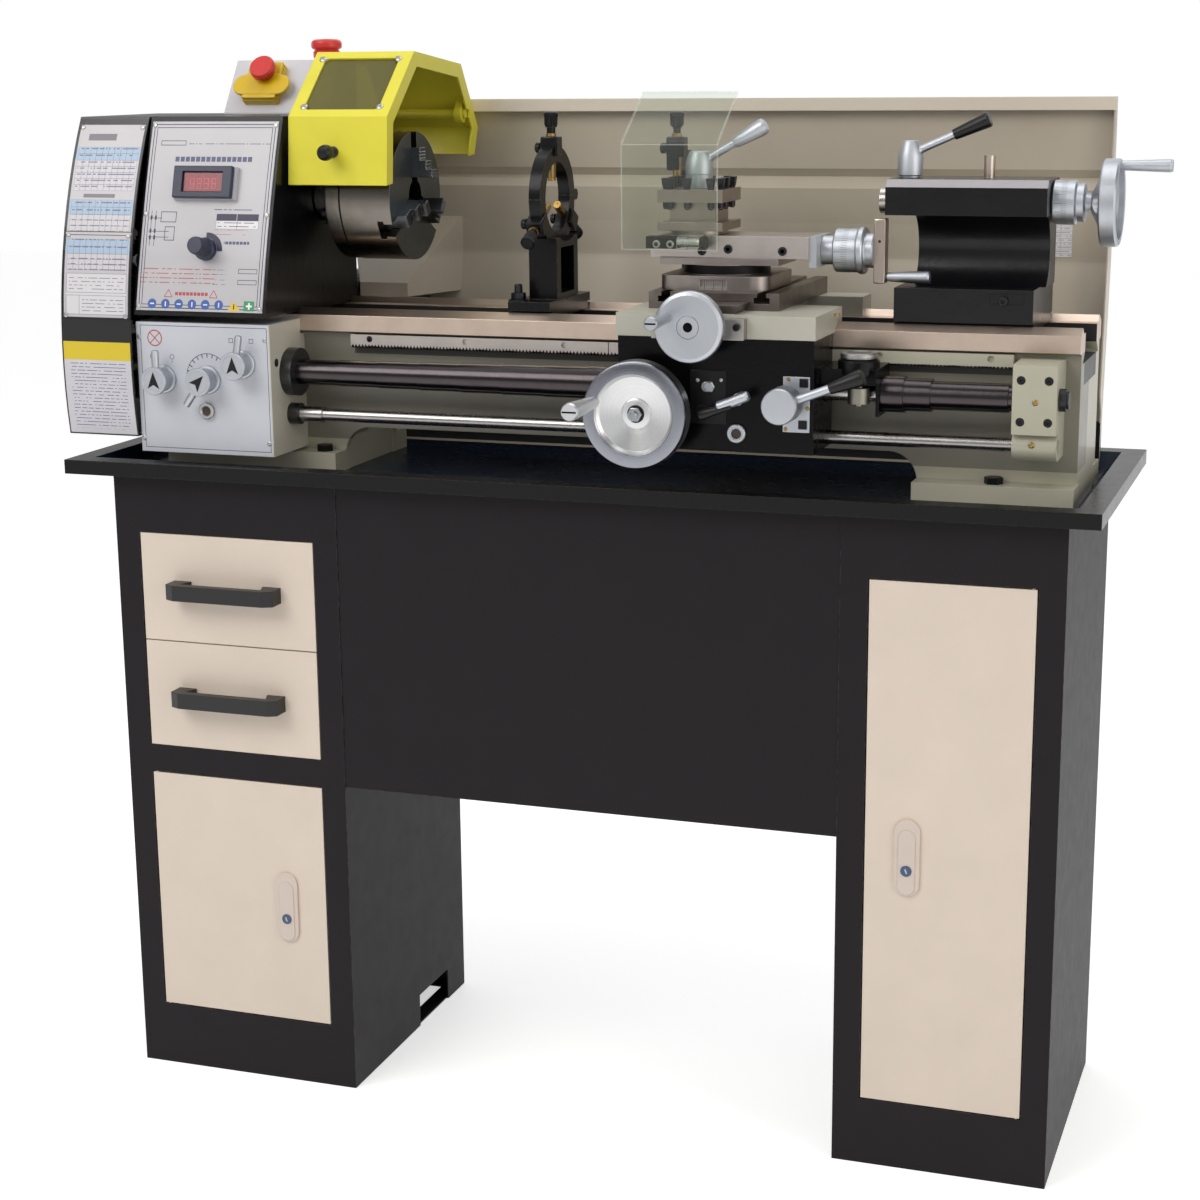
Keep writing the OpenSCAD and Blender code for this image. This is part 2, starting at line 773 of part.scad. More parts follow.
module feed_gearbox() {
  x0 = bed_x0;
  x1 = head_x1 + 3;
  color("#b9bab4") difference() {
    block(x0, x1, box_front, web_front, box_z0, box_z1);
    block(x0 + 10, x1 - 10, box_front + 10, web_front - 8, box_z0 + 10, box_z1 - 10);
    rod_x(x0 - 1, x1 + 1, screw_y, screw_z, screw_d / 2 + run);
    rod_x(x1 - 11, x1 + 1, screw_y, rod_z, rod_d / 2 + run);
    for (p = selectors) {
      rod_y(p[0], box_front - 1, box_front + 11, p[1], 5 + run);
    }
    block(x0 - 1, x1 + 1, bed_front - 0.3, web_front + 1, rack_z - 1, box_z1 + 1);
  }
  // Flange of the leadscrew and bush of the feed rod
  color("#1a1a1c") {
    difference() {
      rod_x(x1, x1 + 15, screw_y, screw_z, 30);
      rod_x(x1 - 1, x1 + 16, screw_y, screw_z, screw_d / 2 + run);
    }
    difference() {
      rod_x(x1, x1 + 14, screw_y, rod_z, 13.5);
      rod_x(x1 - 1, x1 + 15, screw_y, rod_z, rod_d / 2 + run);
    }
  }
  // Oil sight
  color("#c8c8c8") difference() {
    rod_y(selectors[1][0] - 2, box_front - 4, box_front, box_z0 + 55, 10);
    rod_y(selectors[1][0] - 2, box_front - 5, box_front - 1, box_z0 + 55, 6);
  }
}

// Selector knobs: [x, z, angle of the lever pin]
selectors = [[bed_x0 + 36, box_z1 - 71, 90], [bed_x0 + 98, box_z1 - 70, 235],
  [bed_x0 + 147, box_z1 - 49, 80]];

module selector(p) {
  y0 = box_front - selector_l;
  r = selector_d / 2;
  color("#c4c8cc") difference() {
    union() {
      rod_y(p[0], y0, box_front - 4, p[1], r);
      rod_y(p[0], box_front - 4, box_front, p[1], r + 3);
      rod_y(p[0], box_front, box_front + 12, p[1], 5);
    }
    rod_y(p[0], y0 - 1, y0 + 1, p[1], r - 3);
  }
  color("#d8d8d8") translate([p[0], y0 + 8, p[1]]) rotate([0, -p[2], 0]) {
    rotate([0, 90, 0]) cylinder(r = 3.5, h = r + 22);
  }
}

module feed_selector_1() {
  selector(selectors[0]);
}

module feed_selector_2() {
  selector(selectors[1]);
}

module feed_selector_3() {
  selector(selectors[2]);
}

module gear_cover() {
  y1 = motor_y + 45;
  t = 3;
  z0 = cover_front[0][1];
  shape = concat(cover_front, [[130, head_top], [y1, head_top - 140], [y1, z0]]);
  x1 = head_x0 - 2;
  color("#1b1b1e") difference() {
    along_x(cover_x0, x1) polygon(shape);
    along_x(cover_x0 + t, x1 + 1) offset(delta = -t) polygon(shape);
    rod_x(cover_x0 - 1, cover_x0 + t + 1, axis_y, axis_z, spindle_bore / 2 + 5);
  }
  // Studs that hold it off the headstock
  color("#1b1b1e") for (p = [[axis_y + 81, axis_z + 77], [axis_y - 149, axis_z - 75]]) {
    rod_x(cover_x0 + t - 1, head_x0, p[0], p[1], 5);
    rod_x(head_x0 - 8, head_x0, p[0], p[1], 8);
  }
}

module motor() {
  r = 50;
  x0 = head_x0 + 7;
  color("#4a4d50") {
    rod_x(x0, head_x1 - 6, motor_y, motor_z, r);
    rod_x(head_x1 - 7, head_x1 + 66, motor_y, motor_z, 38);
    difference() {
      block(x0 + 30, head_x1 - 40, bed_back, motor_y, flat_z + 6, flat_z + 36);
      rod_x(x0, head_x1, motor_y, motor_z, r - 1);
    }
    rod_x(x0 - 8, x0, motor_y, motor_z, 24);
    rod_x(belt_x0 - 2, x0, motor_y, motor_z, 9);
  }
}

module motor_pulley() {
  color("#9a9a9a") difference() {
    union() {
      rod_x(belt_x0, belt_x0 + belt_w, motor_y, motor_z, motor_pulley_r);
      for (x = [belt_x0 - 2, belt_x0 + belt_w]) {
        rod_x(x, x + 2, motor_y, motor_z, motor_pulley_r + 5);
      }
    }
    rod_x(belt_x0 - 3, belt_x0 + belt_w + 3, motor_y, motor_z, 9 + run);
  }
}

module drive_belt() {
  g = 0.3;
  t = 6;
  color("#121212") along_x(belt_x0 + 1, belt_x0 + belt_w - 1) difference() {
    hull() {
      translate([axis_y, axis_z]) circle(r = pulley_r + g + t, $fn = 32);
      translate([motor_y, motor_z]) circle(r = motor_pulley_r + g + t, $fn = 32);
    }
    hull() {
      translate([axis_y, axis_z]) circle(r = (pulley_r + g) / cos(180 / 32), $fn = 32);
      translate([motor_y, motor_z]) circle(r = (motor_pulley_r + g) / cos(180 / 32), $fn = 32);
    }
  }
}

module idler_gear() {
  color("#8c8c8c") difference() {
    along_x(gear_x0, gear_x0 + gear_w) translate([idler_y, idler_z0]) {
      gear_shape(gear_m, idler_z, idler_phase);
    }
    rod_x(gear_x0 - 1, gear_x0 + gear_w + 1, idler_y, idler_z0, 8 + run);
    for (a = [0:60:300]) {
      rod_x(gear_x0 - 1, gear_x0 + gear_w + 1, idler_y + 48 * cos(a), idler_z0 + 48 * sin(a), 15);
    }
  }
}

module spindle() {
  r = spindle_d / 2;
  shoulder = r + 8;
  color("#a8a8a8") difference() {
    union() {
      rod_x(belt_x0 - 4, chuck_x0, axis_y, axis_z, r);
      rod_x(head_x1 + 1, chuck_x0 - 13, axis_y, axis_z, shoulder);
      rod_x(chuck_x0 - 14, chuck_x0, axis_y, axis_z, flange_d / 2);
      for (a = [30:60:330]) {
        rod_x(chuck_x0 - 24, chuck_x0 - 14, axis_y + 41 * cos(a), axis_z + 41 * sin(a), 6);
      }
      along_x(gear_x0, gear_x0 + gear_w) translate([axis_y, axis_z]) gear_shape(gear_m, gear_z, 0);
      rod_x(belt_x0, belt_x0 + belt_w, axis_y, axis_z, pulley_r);
      for (x = [belt_x0 - 2, belt_x0 + belt_w]) {
        rod_x(x, x + 2, axis_y, axis_z, pulley_r + 5);
      }
    }
    rod_x(belt_x0 - 5, chuck_x0 + 1, axis_y, axis_z, spindle_bore / 2);
  }
}

jaw_a = [90, 210, 330];

module chuck_body() {
  color("#8d8f90") difference() {
    union() {
      rod_x(chuck_x0, chuck_x0 + 18, axis_y, axis_z, chuck_d / 2 - 1);
      rod_x(chuck_x0 + 18, chuck_x0 + 20, axis_y, axis_z, chuck_d / 2 - 3);
      rod_x(chuck_x0 + 20, chuck_x1, axis_y, axis_z, chuck_d / 2);
    }
    rod_x(chuck_x0 - 1, chuck_x1 + 1, axis_y, axis_z, 20);
    for (a = jaw_a) translate([0, axis_y, axis_z]) rotate([a - 90, 0, 0]) {
      block(chuck_x1 - 20, chuck_x1 + 1, -jaw_w / 2 - slip, jaw_w / 2 + slip, 0, chuck_d);
      block(chuck_x1 - 20, chuck_x1 - 12, -jaw_w / 2 - 4, jaw_w / 2 + 4, 0, chuck_d);
    }
    for (a = [60, 180, 300]) translate([0, axis_y, axis_z]) rotate([a, 0, 0]) {
      translate([chuck_x0 + 36, 0, 60]) cylinder(r = 8, h = 30);
    }
  }
}

module jaw(a) {
  r0 = 22;
  r1 = 60;
  x = chuck_x1;
  color("#55585a") translate([0, axis_y, axis_z]) rotate([a - 90, 0, 0]) {
    along_y(-jaw_w / 2, jaw_w / 2) polygon([[x - 20 + slip, r0], [x + jaw_out, r0],
      [x + jaw_out, r0 + 11], [x + jaw_out - 8, r0 + 11], [x + jaw_out - 8, r0 + 22],
      [x + jaw_out - 16, r0 + 22], [x + jaw_out - 16, r1], [x - 20 + slip, r1]]);
    block(x - 20 + slip, x - 12 - slip, -jaw_w / 2 - 4 + slip, jaw_w / 2 + 4 - slip, r0, r1);
  }
}

module chuck_jaw_1() {
  jaw(jaw_a[0]);
}

module chuck_jaw_2() {
  jaw(jaw_a[1]);
}

module chuck_jaw_3() {
  jaw(jaw_a[2]);
}

// Window in the guard's sloping front
win_side = 16;
win_edge = 12;

module on_slope() {
  translate([guard_x0, guard_line[1][0], guard_line[1][1]]) rotate([slope_a, 0, 0]) children();
}

module window_shape(g) {
  r = 7;
  x0 = win_side + g;
  x1 = guard_w - win_side - g;
  y0 = win_edge + g;
  y1 = slope_len - win_edge - g;
  for (x = [x0 + r, x1 - r]) for (y = [y0 + r, y1 - r]) {
    translate([x, y]) circle(r = r);
  }
  translate([x0 + r, y0]) square([x1 - x0 - 2 * r, y1 - y0]);
  translate([x0, y0 + r]) square([x1 - x0, y1 - y0 - 2 * r]);
}

module chuck_guard() {
  back = [for (i = [len(guard_line) - 1:-1:0]) guard_line[i]];
  lug_y = pivot_y + 22;
  color("#d2cd3c") {
    difference() {
      union() {
        difference() {
          along_x(guard_x0, guard_x1) polygon(guard_line);
          along_x(guard_x0 - 1, guard_x1 - guard_t) difference() {
            offset(delta = -guard_t) polygon(concat(guard_line, [[221, 0], [-65, 0]]));
          }
          along_x(guard_x0, guard_x1 + 1) offset(delta = -18) {
            polygon(concat(guard_line, [[221, 0], [-65, 0]]));
          }
        }
        for (x = [guard_x0 + 4, guard_x1 - 16]) {
          rod_x(x, x + 10, pivot_y, pivot_z, pivot_r + 5);
          along_x(x, x + 10) polygon([[pivot_y - 7, pivot_z + 8], [pivot_y + 9, pivot_z - 6],
            [guard_line[4][0] - 4, guard_line[4][1]], [guard_line[4][0] - 30, guard_line[4][1] + 41]]);
        }
      }
      rod_x(guard_x0 - 2, guard_x1 + 2, pivot_y, pivot_z, pivot_r + run);
      on_slope() translate([0, 0, -8]) linear_extrude(20) window_shape(0);
    }
  }
  // Knob on the front face
  color("#141414") {
    rod_y(guard_x0 + 61, -78, guard_line[0][0] + 4, guard_line[0][1] + 40, 4);
    translate([guard_x0 + 61, -84, guard_line[0][1] + 40]) sphere(r = 9.5);
  }
}

module guard_window() {
  color("#6d6a2a") on_slope() {
    translate([0, 0, -guard_t - 2]) linear_extrude(2) window_shape(-5);
  }
}

module switch_box() {
  y1 = button_y + 26;
  shape = [switch_foot, switch_knee, [y1, switch_top], [y1, head_top], [switch_foot[0], head_top]];
  color("#c3c7cc") difference() {
    along_x(switch_x0, head_x1) polygon(shape);
    along_x(switch_x0 + sheet, head_x1 - sheet) polygon([[switch_foot[0] + 3, head_top - 1],
      [switch_foot[0] + 3, switch_foot[1]], [switch_knee[0] + 1, switch_top - sheet],
      [y1 - sheet, switch_top - sheet], [y1 - sheet, head_top - 1]]);
    rod_z(button_x, button_y, switch_top - 5, switch_top + 1, 8 + run);
  }
  color("#e0b414") on_switch() difference() {
    block(-24, 24, 12, 66, -1, 10);
    block(-17, 17, 20, 58, 4, 11);
  }
}

module on_switch() {
  translate([flap_x, switch_foot[0], switch_foot[1]]) rotate([switch_a, 0, 0]) children();
}

module switch_flap() {
  color("#e0b414") on_switch() {
    block(-22, 22, 14, flap_pin[0], 10.3, 16);
    rod_x(-22, 22, flap_pin[0], flap_pin[1], 1.9);
  }
  color("#c82a22") on_switch() {
    translate([0, 38, 16]) cylinder(r = 12, h = 6);
    translate([0, 38, 22]) cylinder(r = 17, h = 10);
  }
}

module emergency_button() {
  color("#c82a22") {
    rod_z(button_x, button_y, switch_top - 12, switch_top + 12, 8);
    rod_z(button_x, button_y, switch_top + 4.5, switch_top + 13, 18);
    rod_z(button_x, button_y, switch_top + 12, switch_top + 27, 20.5);
  }
}

module speed_knob() {
  color("#17171a") translate([knob_x, knob_y, knob_z]) rotate([knob_tilt, 0, 0]) {
    cylinder(r = 15, h = 6);
    cylinder(r = 12, h = 22);
  }
}

module leadscrew() {
  r = screw_d / 2;
  color("#9a9a98") {
    rod_x(gear_x0 - 6, bed_x1 - 6, screw_y, screw_z, r);
    along_x(gear_x0, gear_x0 + gear_w) translate([screw_y, screw_z]) {
      gear_shape(gear_m, gear_z, screw_phase);
    }
    rod_x(bracket_x1 + 0.3, bracket_x1 + 8, screw_y, screw_z, r + 3);
  }
}

module feed_rod() {
  x1 = head_x1 + 3;
  color("#a8a6a2") {
    rod_x(x1 - 10, bed_x1 - 19, screw_y, rod_z, rod_d / 2);
    rod_x(x1 + 14.3, x1 + 46, screw_y, rod_z, rod_d / 2 + 2);
  }
}

// Telescopic cover from x0 to x1, drawn out of n tubes that grow towards x1
module telescope(x0, x1, r0, r1, n) {
  step = (x1 - x0) / n;
  color("#2b2b33") difference() {
    for (i = [0:n - 1]) {
      rod_x(x0 + i * step, x0 + (i + 1) * step, screw_y, screw_z, r0 + (r1 - r0) * i / (n - 1));
    }
    rod_x(x0 - 1, x1 + 1, screw_y, screw_z, screw_d / 2 + 2);
  }
}

module leadscrew_cover_left() {
  telescope(head_x1 + 18.3, sad_x0 - 0.3, cover_small_d / 2, cover_big_d / 2, 8);
}

module leadscrew_cover_right() {
  x0 = sad_x1 + 66.3;
  x1 = bracket_x0 - 0.3;
  mirror_x = x0 + x1;
  translate([mirror_x, 0, 0]) mirror([1, 0, 0]) {
    telescope(x0, x1, cover_small_d / 2 - 1, cover_big_d / 2 + 1, 4);
  }
}

module shaft_bracket() {
  y0 = screw_y - 22;
  z1 = screw_z + 41;
  holes = [for (x = [-15.5, 15.5]) for (z = [-23.5, 23.5]) [x, z]];
  cx = (bracket_x0 + bracket_x1) / 2;
  color("#b9b9a5") difference() {
    union() {
      block(bracket_x0, bracket_x1, y0, web_front, rod_z + 15, z1);
      rod_x(bracket_x0, bracket_x1, screw_y, rod_z, 17);
      block(bracket_x0, bracket_x1, screw_y, web_front, rod_z - 17, rod_z + 16);
    }
    rod_x(bracket_x0 - 1, bracket_x1 + 1, screw_y, screw_z, screw_d / 2 + run);
    rod_x(bracket_x0 - 1, bracket_x1 + 1, screw_y, rod_z, rod_d / 2 + run);
    for (h = holes) {
      rod_y(cx + h[0], y0 - 1, y0 + 8, screw_z + h[1], 5);
    }
  }
}

module saddle() {
  y0 = sad_front;
  y1 = bed_back + 14;
  wing = 34;
  color("#b9b9a5") difference() {
    union() {
      block(sad_x0, sad_x1, y0, -8, sad_z0, sad_z);
      block(sad_x0, sad_x1, bed_back - wing, y1, sad_z0 - 18, sad_z);
      block(cross_x - 66, cross_x + 66, -9, bed_back - wing + 1, sad_z0, sad_z);
      along_y(y0 + 6, y1 - 2) polygon([[cross_x - dove_w, sad_z - 1], [cross_x - dove_w, sad_z],
        [cross_x - dove_w - 6, sad_z + dove_h], [cross_x + dove_w + 6, sad_z + dove_h],
        [cross_x + dove_w, sad_z], [cross_x + dove_w, sad_z - 1]]);
      block(cross_x - 55, cross_x + 55, y0 - 16, y0 + 1, sad_z0, sad_z - 3);
    }
    along_x(sad_x0 - 1, sad_x1 + 1) ways_room(slip);
    rod_y(cross_x, y0 - 17, bed_back - 10, cross_screw_z, cross_screw_r + run);
    block(cross_x - 12, cross_x + 12, -15, bed_back - 22, flat_z + 6, sad_z + dove_h + 1);
  }
}

module apron() {
  y0 = sad_front + 1;
  z1 = sad_z0;
  t = 10;
  x1 = sad_x1 - 2;
  r = screw_d / 2;
  color("#151518") {
    difference() {
      union() {
        block(sad_x0 + 2, x1, y0, apron_back, apron_z0 + 8, z1);
        block(sad_x0 + 2, x1 - 90, y0, apron_back, apron_z0 + 2, z1);
        block(x1 - 91, x1, y0, apron_back, apron_z0, z1);
      }
      block(sad_x0 + 2 + t, x1 - t, y0 + t, apron_back - t, apron_z0 + 8 + t, z1 - t);
      rod_x(sad_x0, x1 + 1, screw_y, screw_z, r + 2);
      rod_x(sad_x0, x1 + 1, screw_y, rod_z, rod_d / 2 + 0.3);
      rod_y(wheel_x, y0 - 1, y0 + t + 1, wheel_z, 9 + run);
      rod_y(nut_x, y0 - 1, y0 + t + 1, nut_z, 8 + run);
      rod_y(feed_x, y0 - 1, y0 + t + 1, feed_z, 6 + run);
    }
    // Half nuts, open, on the rear wall
    for (s = [-1, 1]) {
      difference() {
        block(nut_x - 22, nut_x + 22, screw_y - 18, apron_back - t + 1, screw_z + (s < 0 ? -26 : 3),
          screw_z + (s < 0 ? -3 : 26));
        rod_x(nut_x - 23, nut_x + 23, screw_y, screw_z, r + 2);
      }
    }
    // Arm that carries the thread dial and the end of the right-hand cover
    difference() {
      union() {
        block(x1, sad_x1 + 66, dial_y - 18, apron_back, screw_z + 14, screw_z + 32);
        block(sad_x1 + 62, sad_x1 + 66, screw_y - 24, apron_back, screw_z - 24, screw_z + 15);
        rod_z(dial_x, dial_y, screw_z + 14, screw_z + 43, 15);
      }
      rod_z(dial_x, dial_y, screw_z + 13, screw_z + 44, 5 + run);
      rod_x(sad_x1 + 61, sad_x1 + 67, screw_y, screw_z, r + 1);
    }
  }
  // Oil sight and plugs on the front
  color("#c8c8c8") {
    difference() {
      rod_y(feed_x - 6, y0 - 4, y0, apron_z0 + 22, 10);
      rod_y(feed_x - 6, y0 - 5, y0 - 1, apron_z0 + 22, 6);
    }
    rod_y(feed_x - 42, y0 - 3, y0, screw_z + 9, 6);
  }
}

// Dished wheel about Y, front rim at y, outer radius r, rim depth d, with its hub to y + h
module dished_wheel(x, y, z, r, d, h, hub) {
  turned_y(x, y + h, z) polygon([[0, 0], [hub, 0], [hub, h - d + 4], [r - 20, h - d + 2],
    [r - 14, h - d - 2], [r, h - d - 2], [r, h - 3], [r - 3, h], [r - 14, h], [r - 18, h - 6],
    [hub + 4, h - d + 10], [hub - 2, h - 8], [0, h - 8]]);
}

module apron_handwheel() {
  r = wheel_d / 2;
  hx = wheel_x - 47;
  hz = wheel_z + 13.5;
  color("#b6b8bb") dished_wheel(wheel_x, wheel_y, wheel_z, r, 22, 58, 13);
  color("#888888") {
    rod_y(wheel_x, sad_front - 0.5, sad_front + 11, wheel_z, 9);
    rod_y(wheel_x, wheel_y + 2, wheel_y + 9, wheel_z, 6);
  }
  color("#b6b8bb") translate([hx, wheel_y + 4, hz]) rotate([90, 0, 0]) {
    cylinder(r1 = 6.5, r2 = 10.5, h = 89);
  }
}

module feed_lever() {
  y0 = sad_front + 1;
  color("#9a9ca0") {
    rod_y(feed_x, y0 - 26, y0 + 11, feed_z, 6);
    bar([feed_x - 22, y0 - 22, feed_z - 9], [feed_x + 12, y0 - 22, feed_z + 5], 6, 6);
  }
}

module half_nut_lever() {
  y0 = sad_front + 1;
  z = nut_z;
  yr = y0 - 30;
  color("#b6b8bb") {
    rod_y(nut_x, y0 - 47, y0 - 2, z, 20.5);
    rod_y(nut_x, y0 - 2, y0 + 11, z, 8);
    bar([nut_x + 16, yr, z + 6], [nut_x + 58, yr, z + 22], 5, 5);
  }
  color("#151518") bar([nut_x + 57, yr, z + 21.6], [nut_x + 96, yr, z + 36.5], 6.5, 10);
}

module thread_dial() {
  color("#8f8f88") {
    rod_z(dial_x, dial_y, screw_z + 43.3, screw_z + 49, 21);
    rod_z(dial_x, dial_y, screw_z - 12, screw_z + 44, 5);
    rod_z(dial_x, dial_y, screw_z - 9, screw_z + 9, 12.5);
  }
}

module cross_slide() {
  x0 = cross_x - cross_w / 2;
  x1 = cross_x + cross_w / 2;
  y1 = cross_y0 + cross_l;
  dw = dove_w + slip;
  color("#8e8a88") difference() {
    block(x0, x1, cross_y0, y1, cross_z0, cross_z1);
    along_y(cross_y0 - 1, y1 + 1) polygon([[cross_x - dw, cross_z0 - 1], [cross_x - dw, cross_z0],
      [cross_x - dw - 6.4, cross_z0 + dove_h + 0.3], [cross_x + dw + 6.4, cross_z0 + dove_h + 0.3],
      [cross_x + dw, cross_z0], [cross_x + dw, cross_z0 - 1]]);
    for (s = [-1, 1]) {
      tx = cross_x + s * 58;
      block(tx - tee_w / 2, tx + tee_w / 2, cross_y0 - 1, y1 + 1, cross_z1 - 12, cross_z1 + 1);
      block(tx - tee_w / 2 - 4, tx + tee_w / 2 + 4, cross_y0 - 1, y1 + 1, cross_z1 - 12,
        cross_z1 - 5);
    }
  }
  // Screw nut under the slide
  color("#a08850") difference() {
    block(cross_x - 9, cross_x + 9, 63, 87, cross_screw_z - 5.5, cross_z0 + dove_h + 1);
    rod_y(cross_x, 62, 88, cross_screw_z, cross_screw_r + 0.3);
  }
}

module cross_handwheel() {
  r = cross_wheel_d / 2;
  y = sad_front - 16.3;
  h = 37;
  color("#b6b8bb") {
    turned_y(cross_x, y, cross_screw_z) polygon([[0, 0], [31, 0], [31, h - 12], [r, h - 12],
      [r, h - 2], [r - 2, h], [0, h]]);
    translate([cross_x - 24, y - h + 1, cross_screw_z + 10]) rotate([90, 0, 0]) {
      cylinder(r1 = 5, r2 = 8, h = 64);
    }
  }
  color("#999999") rod_y(cross_x, y - 1, bed_back - 11, cross_screw_z, cross_screw_r);
}

module compound_base() {
  w = swivel_w / 2;
  r = 22;
  color("#908c88") difference() {
    union() {
      translate([swivel_x, 0, cross_z1]) linear_extrude(swivel_t) {
        square([2 * w - 2 * r, 2 * w], center = true);
        square([2 * w, 2 * w - 2 * r], center = true);
        for (a = [-1, 1]) for (b = [-1, 1]) translate([a * (w - r), b * (w - r)]) circle(r = r);
      }
      rod_z(swivel_x, 0, swivel_z1, ring_z1, 52);
      block(slide_x0 + 13, slide_x0 + 158, -43, 43, ring_z1, slide_base_z1);
      along_x(slide_x0 + 13, slide_x0 + 158) polygon([[-20, slide_base_z1 - 1],
        [-20, slide_base_z1], [-26, slide_base_z1 + 10], [26, slide_base_z1 + 10],
        [20, slide_base_z1], [20, slide_base_z1 - 1]]);
    }
    block(slide_x0 + 12, slide_x0 + 159, -8, 8, comp_screw_z - 6.5, slide_z1);
    block(swivel_x - 14, swivel_x + 16, -w - 1, -w + 2, cross_z1 + 4, cross_z1 + 13);
  }
  color("#a08850") difference() {
    block(swivel_x - 10, swivel_x + 14, -8, 8, comp_screw_z - 6.5, comp_screw_z + 6);
    rod_x(swivel_x - 11, swivel_x + 15, 0, comp_screw_z, comp_screw_r + 0.3);
  }
}

module top_slide() {
  w = slide_w / 2;
  color("#a09a96") {
    difference() {
      block(slide_x0, slide_x1, -w, w, slide_z0, slide_z1);
      along_x(slide_x0 - 1, slide_x1 + 1) polygon([[-20 - slip, slide_z0 - 1],
        [-20 - slip, slide_z0], [-26.4 - slip, slide_z0 + 10.3], [-8.3, slide_z0 + 10.3],
        [-8.3, comp_screw_z + 6.5], [8.3, comp_screw_z + 6.5], [8.3, slide_z0 + 10.3],
        [26.4 + slip, slide_z0 + 10.3], [20 + slip, slide_z0], [20 + slip, slide_z0 - 1]]);
    }
    difference() {
      block(slide_x1, slide_x1 + 9, -w + 3, w - 3, slide_z0 - 10, slide_z1);
      rod_x(slide_x1 - 1, slide_x1 + 10, 0, comp_screw_z, comp_screw_r + run);
    }
    // Turret stud
    rod_z(turret_x, 0, slide_z1 - 1, turret_z1 + 2, 8);
  }
  // Hinge block and rod of the tool shield
  color("#1c1b1c") {
    block(slide_x0 + 1, slide_x0 + 38, shield_rod[0] - 6, -w, shield_rod[1] - 7, shield_rod[1] + 7);
  }
  color("#c0bcb8") rod_x(slide_x0 + 38, slide_x0 + 66, shield_rod[0], shield_rod[1], 5);
  color("#1c1b1c") rod_x(slide_x0 + 66, slide_x0 + 73, shield_rod[0], shield_rod[1], 7);
}

module compound_crank() {
  x0 = slide_x1 + 9;
  color("#b6b8bb") {
    turned_x(x0 + 0.3, 0, comp_screw_z) polygon([[0, 0], [17, 0], [17, 15], [25.5, 15],
      [25.5, 42], [27.5, 43], [27.5, 50], [25.5, 51], [20, 52], [20, 62], [8, 62], [8, 66], [0, 66]]);
    rod_x(swivel_x - 30, x0 + 1, 0, comp_screw_z, comp_screw_r);
  }
  color("#b4a69c") difference() {
    block(crank_x - 5, crank_x + 5, -8, 8, comp_screw_z - crank_l / 2, comp_screw_z + crank_l / 2);
    rod_x(crank_x - 6, crank_x + 6, 0, comp_screw_z + 24, 1.5);
  }
  color("#b6b8bb") translate([crank_x + 5, 0, comp_screw_z - crank_l / 2 + 6]) {
    rotate([0, 90, 0]) cylinder(r1 = 4.5, r2 = 6, h = 52);
  }
}

module tool_turret() {
  w = turret_w / 2;
  z = turret_z0;
  color("#a09a96") difference() {
    union() {
      rod_z(turret_x, 0, z, z + 5, w - 6);
      block(turret_x - w, turret_x + w, -w, w, z + 5, slot_z0);
      block(turret_x - w + 12, turret_x + w - 12, -w + 12, w - 12, slot_z0 - 1, slot_z0 + tool_slot + 1);
      block(turret_x - w, turret_x + w, -w, w, slot_z0 + tool_slot, turret_z1);
    }
    rod_z(turret_x, 0, z - 1, turret_z1 + 1, 8 + run);
  }
  // Square-headed tool screws
  color("#161616") for (a = [0:90:270]) translate([turret_x, 0, 0]) rotate([0, 0, a]) {
    for (x = [-26, -5, 24]) {
      rod_z(x, -w + 6, turret_z1, turret_z1 + 5, 3.4);
      block(x - 4, x + 4, -w + 2, -w + 10, turret_z1 + 5, turret_z1 + 13);
      rod_z(x, -w + 6, slot_z0 + tool_slot - 7, slot_z0 + tool_slot, 3.4);
    }
  }
}

module turret_lever() {
  z = turret_z1;
  color("#aeb2b6") difference() {
    union() {
      rod_z(turret_x, 0, z, z + 30, 16);
      translate([turret_x, 0, z + 30]) cylinder(r1 = 16, r2 = 12, h = 13);
      bar([turret_x + 8, 0, z + 36], [turret_x + 34, 0, z + 50], 5, 5);
      bar([turret_x + 33, 0, z + 49.5], [turret_x + 78, 0, z + 73], 5.5, 8.5);
    }
    rod_z(turret_x, 0, z - 1, z + 3, 8 + run);
  }
}

module tool_shield() {
  x0 = turret_x - 77;
  x1 = x0 + 118;
  y = shield_y;
  z0 = slide_z1 - 16;
  bend = slide_z1 + 106;
  t = 3;
  color("#cfd4c8", 0.4) along_x(x0, x1) polygon([[y, z0], [y, bend], [y + 84, bend + 56],
    [y + 84, bend + 56 + t + 0.6], [y - 0.5, bend + t + 1], [y - t, bend], [y - t, z0]]);
  // Clamp on the hinge rod
  color("#1c1b1c") difference() {
    union() {
      rod_x(slide_x0 + 40, slide_x0 + 50, shield_rod[0], shield_rod[1], 9);
      block(slide_x0 + 40, slide_x0 + 50, y, shield_rod[0], shield_rod[1] - 6, shield_rod[1] + 6);
    }
    rod_x(slide_x0 + 39, slide_x0 + 51, shield_rod[0], shield_rod[1], 5 + run);
  }
}

